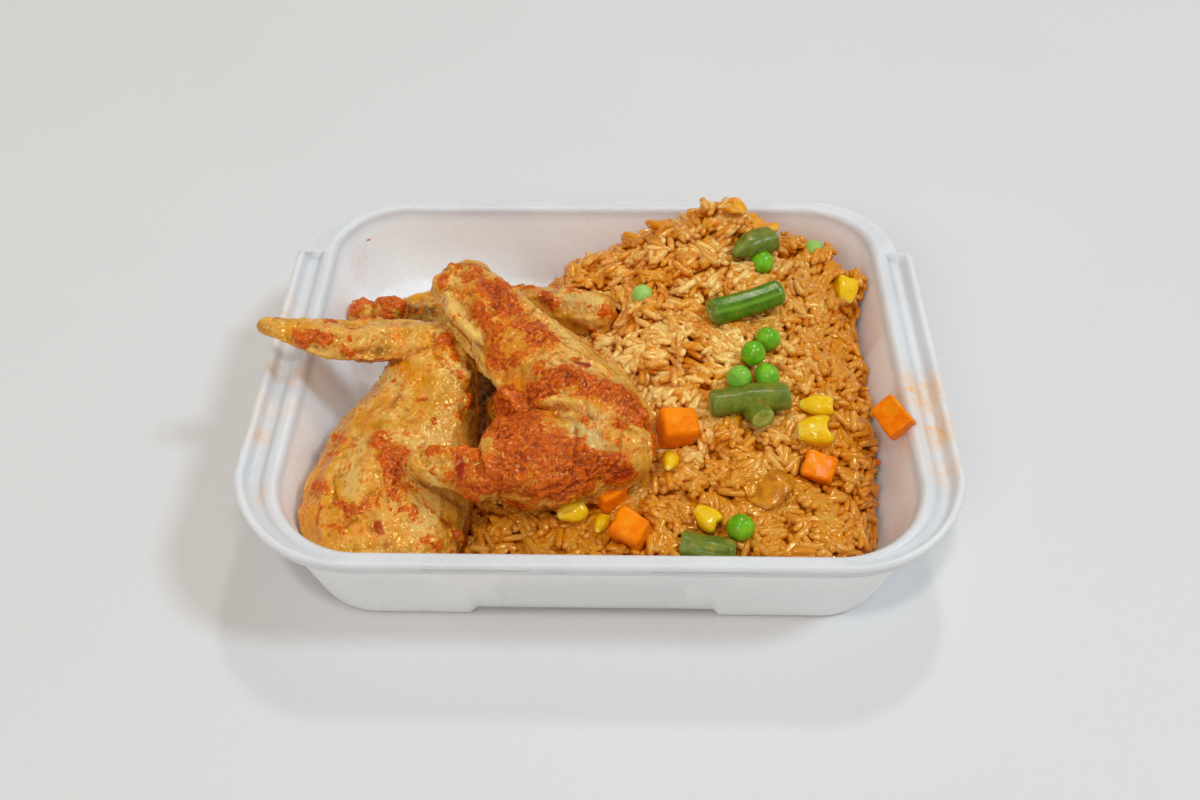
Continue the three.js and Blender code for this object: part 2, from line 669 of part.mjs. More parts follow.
// One whole grain with few sides, lying along X.
function grain(length, width) {
  const sides = 4;
  const vertices = [[-length / 2, 0, -0.1 * width]];
  for (const at of [-0.26, 0.24]) {
    for (let i = 0; i < sides; i++) {
      const t = ((i + 0.5) / sides) * 2 * Math.PI;
      vertices.push([at * length, (Math.cos(t) * width) / 1.6, (Math.sin(t) * width) / 1.75]);
    }
  }
  vertices.push([length / 2, 0, -0.1 * width]);
  const faces = [];
  for (let i = 0; i < sides; i++) {
    const j = (i + 1) % sides;
    faces.push([0, 1 + j, 1 + i], [1 + i, 1 + j, 5 + j], [1 + i, 5 + j, 5 + i], [9, 5 + i, 5 + j]);
  }
  return indexed(vertices, faces);
}

const core = riceCore().intersect(cavity).subtract(clearOfHeap);
let grains = null;
const drawGrain = seeded(71);
const laid = [];
for (let tries = 0; tries < 9000 && laid.length < fusedGrains; tries++) {
  const x = lerp(-40, 98, drawGrain());
  const y = lerp(-76, 72, drawGrain());
  const turn = drawGrain() * Math.PI;
  const dip = (drawGrain() - 0.5) * 0.5;
  const rise = 0.7 + 0.7 * drawGrain();
  if (heapHeight(x, y) < foamFloor + 5 || underWing(x, y)) continue;
  const step = 2.5;
  const [c, s] = [Math.cos(turn) * step, Math.sin(turn) * step];
  if (laid.some((g) => [-1, 0, 1].some((k) => Math.hypot(g.x + g.c * k - x, g.y + g.s * k - y) < 6.4))) continue;
  const slope = Math.atan2(heapHeight(x + c, y + s) - heapHeight(x - c, y - s), 2 * step);
  const place = new THREE.Matrix4().compose(
    new THREE.Vector3(x, y, heapHeight(x, y) + rise),
    new THREE.Quaternion().setFromEuler(new THREE.Euler(0, dip - slope, turn, "ZYX")),
    new THREE.Vector3(1, 1, 1),
  );
  const one = toSolid(grain(grainLength, grainWidth).applyMatrix4(place));
  if (clearOfHeap.intersect(one).volume() > 1e-6 || one.subtract(cavity).volume() > 1e-6) continue;
  if (core.intersect(one).volume() < 2.5) continue; // each grain holds to the heap
  grains = grains ? grains.add(one) : one;
  laid.push({ x, y, c, s });
}
addPiece("rice", toGeometry(core.add(grains)), 0xd9832f, 0.55);
for (const name of Object.keys(wingParts)) addPiece(name, wings[name], name === "wing_right" ? 0xc9682a : 0xd09a55, 0.45);
addPiece("foam_box", toGeometry(box), 0xf2f1f3, 0.7);

export default group;
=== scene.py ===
import math

import bmesh
import bpy
import numpy as np
from mathutils import Matrix, Vector
from mathutils.bvhtree import BVHTree


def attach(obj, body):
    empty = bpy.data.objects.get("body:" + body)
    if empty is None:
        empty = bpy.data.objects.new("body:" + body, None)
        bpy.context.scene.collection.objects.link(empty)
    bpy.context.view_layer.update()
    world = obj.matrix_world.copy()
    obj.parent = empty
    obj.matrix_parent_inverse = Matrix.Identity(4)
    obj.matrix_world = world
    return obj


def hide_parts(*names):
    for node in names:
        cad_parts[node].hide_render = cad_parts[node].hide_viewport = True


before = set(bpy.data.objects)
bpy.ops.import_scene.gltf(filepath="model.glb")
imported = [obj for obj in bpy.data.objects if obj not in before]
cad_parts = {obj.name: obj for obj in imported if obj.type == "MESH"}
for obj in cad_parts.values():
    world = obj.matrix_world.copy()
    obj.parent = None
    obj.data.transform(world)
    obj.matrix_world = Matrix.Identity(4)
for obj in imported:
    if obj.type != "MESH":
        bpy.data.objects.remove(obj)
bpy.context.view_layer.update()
mm = 0.001


# 1 at no distance, falling off softly over the width
def bell(distance, width):
    return np.exp(-((np.asarray(distance, float) / width) ** 2))


def smoothstep(value, low, high):
    t = np.clip((np.asarray(value, float) - low) / (high - low), 0, 1)
    return t * t * (3 - 2 * t)


# 1 between low and high, with soft ends
def window(value, low, high, soft):
    risen = smoothstep(value, low - soft, low + soft)
    return risen * (1 - smoothstep(value, high - soft, high + soft))


# an even random number from 0 to 1 for each whole cell
def hashed(cells, seed):
    c = cells.astype(np.int64).astype(np.uint32)
    n = c[..., 0] * np.uint32(374761393) + c[..., 1] * np.uint32(668265263)
    n = n + c[..., 2] * np.uint32(2246822519) + np.uint32(seed * 97463 + 12345)
    n = (n ^ (n >> np.uint32(13))) * np.uint32(1274126177)
    n = (n ^ (n >> np.uint32(15))) * np.uint32(2246822519)
    return (n ^ (n >> np.uint32(16))).astype(float) / 4294967295.0


# smooth noise from -1 to 1, with features of the given size
def softNoise(points, size, seed=0, octaves=1):
    total = np.zeros(len(points))
    gain, sums = 1.0, 0.0
    for octave in range(octaves):
        p = points / (size / 2**octave)
        base = np.floor(p)
        t = p - base
        t = t * t * (3 - 2 * t)
        value = np.zeros(len(points))
        for corner in np.ndindex(2, 2, 2):
            weight = np.prod(np.where(np.array(corner) == 1, t, 1 - t), axis=1)
            value += weight * hashed(base + np.array(corner), seed + 31 * octave)
        total += gain * (value * 2 - 1)
        sums += gain
        gain *= 0.5
    return total / sums


# 1 where smooth noise is above high, 0 where it is below low
def patches(points, size, seed, octaves, low, high):
    return smoothstep(softNoise(points, size, seed, octaves), low, high)


# distance to the nearest of scattered points, one for each cell of the given size: round lumps
def lumpNoise(points, size, seed=0):
    p = points / size
    base = np.floor(p)
    best = np.full(len(points), 9.0)
    for corner in np.ndindex(3, 3, 3):
        cell = base + np.array(corner) - 1
        spot = cell + np.stack([hashed(cell, seed + k) for k in range(3)], axis=1)
        best = np.minimum(best, ((p - spot) ** 2).sum(axis=1))
    return np.sqrt(best)


def addNode(tree, kind, inputs=None, **settings):
    made = tree.nodes.new("ShaderNode" + kind)
    for key, value in settings.items():
        setattr(made, key, value)
    for key, value in (inputs or {}).items():
        if isinstance(value, bpy.types.NodeSocket):
            tree.links.new(value, made.inputs[key])
        else:
            made.inputs[key].default_value = value
    return made


# colours are sockets, or tuples of red, green and blue
def mixed(tree, factor, first, second, blend="MIX"):
    inputs = {0: factor}
    for index, tone in ((6, first), (7, second)):
        inputs[index] = (*tone, 1.0) if isinstance(tone, tuple) else tone
    return addNode(tree, "Mix", inputs, data_type="RGBA", blend_type=blend).outputs[2]


def sums(tree, operation, first, second=0.0, clamp=False):
    node = addNode(tree, "Math", {0: first, 1: second}, operation=operation, use_clamp=clamp)
    return node.outputs[0]


def ranged(tree, value, low, high, toLow=0.0, toHigh=1.0):
    inputs = {"Value": value, "From Min": low, "From Max": high, "To Min": toLow, "To Max": toHigh}
    return addNode(tree, "MapRange", inputs, interpolation_type="SMOOTHSTEP").outputs[0]


def noiseNode(tree, place, perMetre, detail=3.0, rough=0.55):
    inputs = {"Vector": place, "Scale": perMetre, "Detail": detail, "Roughness": rough}
    return addNode(tree, "TexNoise", inputs).outputs["Fac"]


def cellNode(tree, place, perMetre, feature="F1"):
    node = addNode(tree, "TexVoronoi", {"Vector": place, "Scale": perMetre}, feature=feature)
    if feature == "SMOOTH_F1":
        node.inputs["Smoothness"].default_value = 0.5
    return node.outputs["Distance"]


def attributeNode(tree, name):
    return addNode(tree, "Attribute", attribute_name=name).outputs["Fac"]


def bumped(tree, height, strength, distance, under=None):
    inputs = {"Height": height, "Strength": strength, "Distance": distance}
    if under is not None:
        inputs["Normal"] = under
    return addNode(tree, "Bump", inputs).outputs[0]


# a material with its shader: plain values go straight on the shader's sockets
def newMaterial(name, values):
    material = bpy.data.materials.new(name)
    material.use_nodes = True
    tree = material.node_tree
    shader = tree.nodes["Principled BSDF"]
    for key, value in values.items():
        shader.inputs[key].default_value = value
    place = addNode(tree, "TexCoord").outputs["Object"]
    return material, tree, shader, place


def connect(tree, shader, **sockets):
    for key, value in sockets.items():
        tree.links.new(value, shader.inputs[key.replace("_", " ")])


def shownObject(name, mesh, material, stands=()):
    mesh.shade_smooth()
    mesh.materials.clear()
    mesh.materials.append(material)
    made = bpy.data.objects.new(name, mesh)
    bpy.context.scene.collection.objects.link(made)
    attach(made, "root")
    if stands:
        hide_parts(*stands)
    return made


def meshFrom(bm, name):
    mesh = bpy.data.meshes.new(name)
    bm.to_mesh(mesh)
    bm.free()
    return mesh


def coordinates(mesh):
    co = np.zeros(len(mesh.vertices) * 3)
    mesh.vertices.foreach_get("co", co)
    return co.reshape(-1, 3)


def normalsOf(mesh):
    normal = np.zeros(len(mesh.vertices) * 3)
    mesh.vertices.foreach_get("normal", normal)
    return normal.reshape(-1, 3)


def setCoordinates(mesh, co):
    mesh.vertices.foreach_set("co", np.asarray(co, np.float32).ravel())
    mesh.update()


def setAttribute(mesh, name, values):
    attribute = mesh.attributes.get(name) or mesh.attributes.new(name, "FLOAT", "POINT")
    attribute.data.foreach_set("value", np.asarray(values, np.float32))


# a closed skin through rings of points: a circle, extruded from ring to ring, with its ends filled
def skinRings(rings):
    bm = bmesh.new()
    ring = bmesh.ops.create_circle(bm, cap_ends=False, segments=len(rings[0]), radius=1)["verts"]
    edges = list(bm.edges)
    for vert, at in zip(ring, rings[0]):
        vert.co = at
    bmesh.ops.contextual_create(bm, geom=edges)
    for points in rings[1:]:
        grown = bmesh.ops.extrude_edge_only(bm, edges=edges)["geom"]
        edges = [g for g in grown if isinstance(g, bmesh.types.BMEdge)]
        fresh = {g for g in grown if isinstance(g, bmesh.types.BMVert)}
        ring = [next(e.other_vert(v) for e in v.link_edges if e.other_vert(v) in fresh) for v in ring]
        for vert, at in zip(ring, points):
            vert.co = at
    bmesh.ops.contextual_create(bm, geom=edges)
    bmesh.ops.recalc_face_normals(bm, faces=bm.faces)
    return bm


view = {
    "at": (0.00762, -0.26602, 0.32348),
    "heading": 1.75,
    "pitch": 49.0,
    "roll": -0.93,
    "lens": 33.775,
}

cameraData = bpy.data.cameras.new("camera")
cameraData.lens = view["lens"]
cameraData.sensor_width = 36
cameraData.clip_start = 0.01
camera = bpy.data.objects.new("camera", cameraData)
bpy.context.scene.collection.objects.link(camera)
camera.matrix_world = (
    Matrix.Translation(view["at"])
    @ Matrix.Rotation(math.radians(view["heading"]), 4, "Z")
    @ Matrix.Rotation(math.radians(90 - view["pitch"]), 4, "X")
    @ Matrix.Rotation(math.radians(view["roll"]), 4, "Z")
)
bpy.context.scene.camera = camera

studio = {
    "fill": (1.0, 0.9, 0.76),
    "fillStrength": 0.4,
    "aim": (0.0, 0.0, 0.02),
    "lights": {
        # place, size, watts, colour
        "window": ((2.55, 0.15, 3.15), 0.75, 64.0, (0.66, 0.85, 1.0)),
        "lamp": ((-0.25, -0.55, 2.2), 0.26, 11.2, (1.0, 1.0, 0.98)),
        "front": ((-1.1, -2.0, 1.9), 1.0, 16.0, (0.88, 0.945, 1.0)),
        "back": ((0.35, 1.5, 2.1), 0.24, 9.6, (1.0, 0.99, 0.99)),
    },
}


def addLight(name, at, size, watts, tone):
    data = bpy.data.lights.new(name, "AREA")
    data.shape = "DISK"
    data.size = size
    data.energy = watts
    data.color = tone
    light = bpy.data.objects.new(name, data)
    bpy.context.scene.collection.objects.link(light)
    turn = (Vector(studio["aim"]) - Vector(at)).to_track_quat("-Z", "Y").to_matrix().to_4x4()
    light.matrix_world = Matrix.Translation(at) @ turn


for lightName, settings in studio["lights"].items():
    addLight(lightName, *settings)
world = bpy.data.worlds.new("studio")
bpy.context.scene.world = world
world.use_nodes = True
world.node_tree.nodes["Background"].inputs["Color"].default_value = (*studio["fill"], 1)
world.node_tree.nodes["Background"].inputs["Strength"].default_value = studio["fillStrength"]
bpy.context.scene.view_settings.view_transform = "Standard"

tableTop, tree, shader, place = newMaterial("table", {"Roughness": 0.6})
mottle = noiseNode(tree, place, 6.0, 4.0)
tone = mixed(tree, mottle, (0.665, 0.645, 0.64), (0.7, 0.68, 0.675))
connect(tree, shader, Base_Color=tone)
connect(tree, shader, Normal=bumped(tree, noiseNode(tree, place, 260.0, 5.0), 0.12, 0.001))
bm = bmesh.new()
bmesh.ops.create_grid(bm, x_segments=2, y_segments=2, size=3.0)
floor = bpy.data.objects.new("floor", meshFrom(bm, "floor"))
floor.data.materials.append(tableTop)
bpy.context.scene.collection.objects.link(floor)
print("camera, light and floor are set")


foamBox = {
    "halfWidth": 104.0,  # path of the rim ridge
    "front": -82.8,
    "back": 81.9,
    "radius": 32.0,
    "lipEnd": 54.0,
    "round": 1.3,  # of every edge of the profile
    "slots": ((-51.2, -19.6), (17.6, 49.2)),
    "slotDepth": 3.2,
    "footRise": 2.0,  # of the front and back walls between the corner feet
    "footPress": 1.6,
    "wallPress": 1.4,
    "sidePress": 1.9,  # how far the inner walls are pressed in along their middles
    "backPress": 1.2,
    # the inner wall's heights, and how far out of the path it is there
    "innerWall": ((5, 8.6, 20, 38.6, 60), (-14.6, -10.2, -7.2, -2.9, 4.0)),
}
# each row: how far out of the path and how high, on the lipped sides, the hinge corners and the ends,
# then how many rows go between it and the next one
foamRows = [
    ((-21, 2), (-20, 2), (-19, 2), 0),
    ((-19.5, 0), (-18.5, 0), (-17.5, 0), 2),
    ((-9, 0), (-8, 0), (-5.5, 0), 0),
    ((-7.4, 1.4), (-6.4, 1.4), (-4.6, 1.4), 5),
    ((-2.2, 18), (-1.6, 18), (-2, 18), 5),
    ((3, 33), (3.6, 33), (0.2, 33), 0),
    ((11.3, 35), (6.2, 35.2), (2.4, 35.2), 0),
    ((11.5, 37.0), (6.3, 37.0), (2.55, 37.0), 0),
    ((11.6, 37.15), (6.35, 37.15), (2.56, 37.15), 0),
    ((11.7, 37.75), (6.4, 37.75), (2.6, 37.75), 0),
    ((11.75, 37.9), (6.42, 37.9), (2.62, 37.9), 0),
    ((12, 38.9), (6.5, 38.9), (2.7, 38.9), 0),
    ((11.2, 40), (5.9, 40), (2, 40), 0),
    ((9.2, 40), (5, 40), (1.3, 40), 1),
    ((8.3, 36.4), (4, 40), (0.6, 40), 2),
    ((3.4, 36.2), (2.8, 40), (0.1, 40), 1),
    ((2, 39.6), (1.6, 40), (-0.8, 40), 0),
    ((-1.4, 40), (-0.8, 40), (-1.8, 40), 0),
    ((-3, 38.6), (-2.8, 38.8), (-2.8, 38.8), 6),
    ((-7.4, 20), (-7, 20), (-5.9, 20), 5),
    ((-11, 8.6), (-10.6, 8.6), (-8.8, 8.6), 2),
    ((-14.6, 5.4), (-14, 5.4), (-12.3, 5.4), 1),
    ((-20, 5), (-19, 5), (-18, 5), 0),
]
footRows = (1, 2, 3)
wallRow = 4
slotRows = (8, 9)
lipRows = (6, 7, 8, 9, 10, 11, 12)
innerRows = (19, 20, 21)


# stations round the path, anticlockwise: centre x, centre y, angle, lipped, rear, along an end
def foamStations():
    g = foamBox
    cx = g["halfWidth"] - g["radius"]
    backY = g["back"] - g["radius"]
    frontY = g["front"] + g["radius"]
    sideY = np.linspace(frontY + 1.5, g["lipEnd"] - 0.15, 58)
    sideY = np.concatenate([sideY, [g["lipEnd"] + 0.15, 54.8]])
    endX = np.linspace(cx - 1.3, -cx + 1.3, 108)
    turn = np.linspace(0, 1, 25)
    lip = [(float(y < g["lipEnd"]), float(y > g["lipEnd"])) for y in sideY]
    rows = [(cx, y, 0, *lips, 0) for y, lips in zip(sideY, lip)]
    rows += [(cx, backY + 5.4 * (1 - t), t * math.pi / 2, 0, 1 - t, 0) for t in turn]
    rows += [(x, backY, math.pi / 2, 0, 0, 1) for x in endX]
    rows += [(-cx, backY + 5.4 * t, (1 + t) * math.pi / 2, 0, t, 0) for t in turn]
    rows += [(-cx, y, math.pi, *lips, 0) for y, lips in zip(sideY[::-1], lip[::-1])]
    rows += [(-cx, frontY, (2 + t) * math.pi / 2, (1 - t) ** 1.5, 0, 0) for t in turn]
    rows += [(x, frontY, 1.5 * math.pi, 0, 0, 1) for x in endX[::-1]]
    rows += [(cx, frontY, (3 + t) * math.pi / 2, t**1.5, 0, 0) for t in turn]
    return np.array(rows)


# the profile's corners at every station, pressed in, slotted and torn where the box is
def foamCorners():
    x, y, a, lipped, rear, end = foamStations().T
    side = (np.abs(np.sin(a)) < 1e-6).astype(float)
    atBack = end * (a < 2)
    place = np.stack([x + 40 * np.cos(a), y + 40 * np.sin(a), 0 * x], axis=1)
    corners = []
    for index, (sideRow, rearRow, endRow, _) in enumerate(foamRows):
        out = sideRow[0] * lipped + rearRow[0] * rear + endRow[0] * (1 - lipped - rear)
        z = sideRow[1] * lipped + rearRow[1] * rear + endRow[1] * (1 - lipped - rear)
        middle = end * window(x, -40.3, 38.3, 1.0)
        if index in footRows:
            z = z + middle * np.maximum(foamBox["footRise"] - z, 0)
            out = out - (foamBox["footPress"] * middle if index > 1 else 0)
        if index == wallRow:
            out = out - foamBox["wallPress"] * end * window(x, -30.5, 28.5, 1.2)
        if index in slotRows:
            for low, high in foamBox["slots"]:
                out = out - foamBox["slotDepth"] * end * (a > 3) * window(x, low, high, 0.5)
        if index in innerRows:
            out = out - foamBox["sidePress"] * side * window(y, -27.5, 17.5, 1.6)
            out = out - foamBox["backPress"] * atBack * window(x, -28, 22, 1.6)
        if index in lipRows:
            ragged = softNoise(place + index * 0.7, 2.6, 5, 2)
            out = out + atBack * (0.5 + 0.9 * ragged) * (0.3 + 0.7 * (softNoise(place, 30, 9) > -0.1))
            crinkle = softNoise(place + index * 1.3, 5.0, 21, 2)
            crinkle = crinkle * side * (x < 0) * window(y, -44, 36, 10)
            out = out + 0.55 * crinkle - 0.35 * np.abs(crinkle)
            z = z + 0.35 * crinkle
        corners.append(np.stack([out, z], axis=1))
    return corners


# every corner rounded, with more rows laid in between
def foamRings():
    corners = foamCorners()
    x, y, a = foamStations().T[:3]
    rows = [corners[0]]
    for index in range(1, len(corners) - 1):
        before, here, after = corners[index - 1], corners[index], corners[index + 1]
        toBefore, toAfter = before - here, after - here
        lengthBefore = np.linalg.norm(toBefore, axis=1, keepdims=True)
        lengthAfter = np.linalg.norm(toAfter, axis=1, keepdims=True)
        cut = np.minimum(foamBox["round"], 0.42 * np.minimum(lengthBefore, lengthAfter))
        start = here + toBefore / lengthBefore * cut
        finish = here + toAfter / lengthAfter * cut
        rows += [start, 0.25 * start + 0.5 * here + 0.25 * finish, finish]
        count = foamRows[index][3]
        nextCut = np.minimum(foamBox["round"], 0.42 * lengthAfter)
        stop = after - toAfter / lengthAfter * nextCut
        rows += [finish + (stop - finish) * k / (count + 1) for k in range(1, count + 1)]
    rows.append(corners[-1])
    rings = []
    for row in rows:
        reach = foamBox["radius"] + row[:, 0]
        rings.append(np.stack([x + np.cos(a) * reach, y + np.sin(a) * reach, row[:, 1]], axis=1))
    # the flat bottom, outside and inside, is closed with smaller and smaller rings
    middle = np.array([0.0, -0.4, 0.0])
    outer, inner = rings[0] - middle, rings[-1] - middle
    under = [middle + outer * [s, s, 1] for s in (0.25, 0.5, 0.75, 0.93)]
    inside = [middle + inner * [s, s, 1] for s in (0.95, 0.86, 0.72, 0.56, 0.4, 0.24, 0.1)]
    return [ring * mm for ring in under + rings + inside]


foamMarks = {
    # orange stains, and broad faint orange on the inner walls as painted bounce light from the food: x,
    # y, z, radius, strength
    "stains_and_bounce": (
        (-104.5, 68.0, 32, 1.6, 1.0), (-98, 66, 25, 6, 0.22), (-115, 10, 39, 5, 0.55),
        (-115.5, -6, 38, 4, 0.5), (-113, 20, 40, 5, 0.4), (-116, -22, 38, 6, 0.35),
        (-103, -10, 40, 4, 0.35), (-104, -24, 38, 3, 0.4), (-106, -58, 38, 4, 0.25),
        (-96, -64, 30, 9, 0.2), (-99, -40, 26, 8, 0.2), (102, -24, 30, 9, 0.16),
        (103, -40, 26, 9, 0.14), (109, -18, 37, 3, 0.3), (98, 30, 26, 8, 0.12),
        (99, -58, 24, 9, 0.14), (108, -14, 38, 8, 0.75), (111, -30, 38, 7, 0.62),
        (104, -34, 34, 6, 0.4), (110, -46, 37, 6, 0.35), (-101, 64, 27, 4, 0.3),
        (-97, 60, 22, 5, 0.3), (-104, 14, 32, 4, 0.25), (-97, -30, 12, 5, 0.3),
        (-112, -34, 37, 4, 0.4), (-114, 30, 38, 3, 0.35),
    ),
    # x, y, z, radius
    "drops": ((-104.5, 68.0, 32, 1.6), (-103.5, 58, 28, 0.8), (-93, 71, 31, 0.6)),
}

foamValues = {
    "Roughness": 0.42,
    "Subsurface Weight": 0.85,
    "Subsurface Radius": (1.0, 0.95, 0.92),
    "Subsurface Scale": 0.007,
    "Coat Weight": 0.12,
    "Coat Roughness": 0.3,
}
foamSkin, tree, shader, place = newMaterial("foam", foamValues)
beads = cellNode(tree, place, 620.0)
pits = cellNode(tree, place, 1500.0)
cloud = noiseNode(tree, place, 45.0, 4.0)
# painted light: the one white foam is painted darker on the rim and upper outer walls, and brighter on
# the inner and lower walls
white = mixed(tree, ranged(tree, cloud, 0.35, 0.65), (0.63, 0.635, 0.65), (0.67, 0.675, 0.69))
within = mixed(tree, ranged(tree, cloud, 0.35, 0.65), (0.92, 0.95, 1.0), (0.94, 0.97, 1.0))
white = mixed(tree, attributeNode(tree, "inside"), white, within)
white = mixed(tree, ranged(tree, beads, 0.35, 0.75, 0.0, 0.12), white, (0.68, 0.675, 0.69))
spread = ranged(tree, noiseNode(tree, place, 420.0, 5.0, 0.65), 0.36, 0.66, 0.25, 1.3)
# orange stains, and painted bounce light from the food on the inner walls
stained = sums(tree, "MULTIPLY", attributeNode(tree, "stain"), spread, clamp=True)
white = mixed(tree, stained, white, (0.86, 0.4, 0.07))
# small round drops of sauce
for x, y, z, radius in foamMarks["drops"]:
    spot = (x * mm, y * mm, z * mm)
    away = addNode(tree, "VectorMath", {0: place, 1: spot}, operation="DISTANCE").outputs["Value"]
    uneven = ranged(tree, noiseNode(tree, place, 700.0), 0.3, 0.7, -0.0005, 0.0005)
    away = sums(tree, "ADD", away, uneven)
    drop = ranged(tree, away, radius * mm, radius * 1.25 * mm, 0.9, 0.0)
    white = mixed(tree, drop, white, (0.72, 0.25, 0.02))
frayed = ranged(tree, noiseNode(tree, place, 500.0), 0.4, 0.62)
frayed = sums(tree, "MULTIPLY", attributeNode(tree, "torn"), frayed)
white = mixed(tree, frayed, white, (0.5, 0.4, 0.3))
connect(tree, shader, Base_Color=white)
relief = bumped(tree, beads, 0.16, 0.0006)
relief = bumped(tree, pits, 0.08, 0.0003, relief)
connect(tree, shader, Normal=bumped(tree, cloud, 0.25, 0.0012, relief))


# how far inside the box's inner wall a place is
def insideWall(x, y, z):
    out = np.interp(z, *foamBox["innerWall"]) - 0.4
    cx = foamBox["halfWidth"] - foamBox["radius"]
    low, high = foamBox["front"] + foamBox["radius"], foamBox["back"] - foamBox["radius"]
    dx = np.maximum(np.abs(x) - cx, 0)
    dy = np.where(y < low, low - y, np.maximum(y - high, 0))
    return foamBox["radius"] + out - np.hypot(dx, dy)


# stains and painted bounce light, the inner and lower walls painted brighter as painted light, and the
# torn rear edge, as attributes of the skin
def markFoam(mesh):
    co = coordinates(mesh) / mm
    x, y, z = co.T
    stain = np.zeros(len(co))
    for *spot, radius, strength in foamMarks["stains_and_bounce"]:
        stain = np.maximum(stain, strength * bell(np.linalg.norm(co - spot, axis=1), radius))
    setAttribute(mesh, "stain", stain)
    inner = (insideWall(x, y, z) > -3.2) & (z > 4.6)
    # painted light: the lower walls, outside as well, take the brighter inside tone
    paintedLightLowWall = 0.95 * (1 - smoothstep(z, 30, 36))
    setAttribute(mesh, "inside", np.maximum(inner * (1 - smoothstep(z, 34, 38.5)), paintedLightLowWall))
    torn = bell(y - 85.5, 1.6) * smoothstep(z, 34, 37) * patches(co, 16, 3, 2, -0.25, 0.2)
    setAttribute(mesh, "torn", torn * (np.abs(x) < 96))


foam = meshFrom(skinRings(foamRings()), "foam_box_skin")
markFoam(foam)
shownObject("foam_box_skin", foam, foamSkin, ["foam_box"])
print("foam box:", len(foam.polygons), "faces")

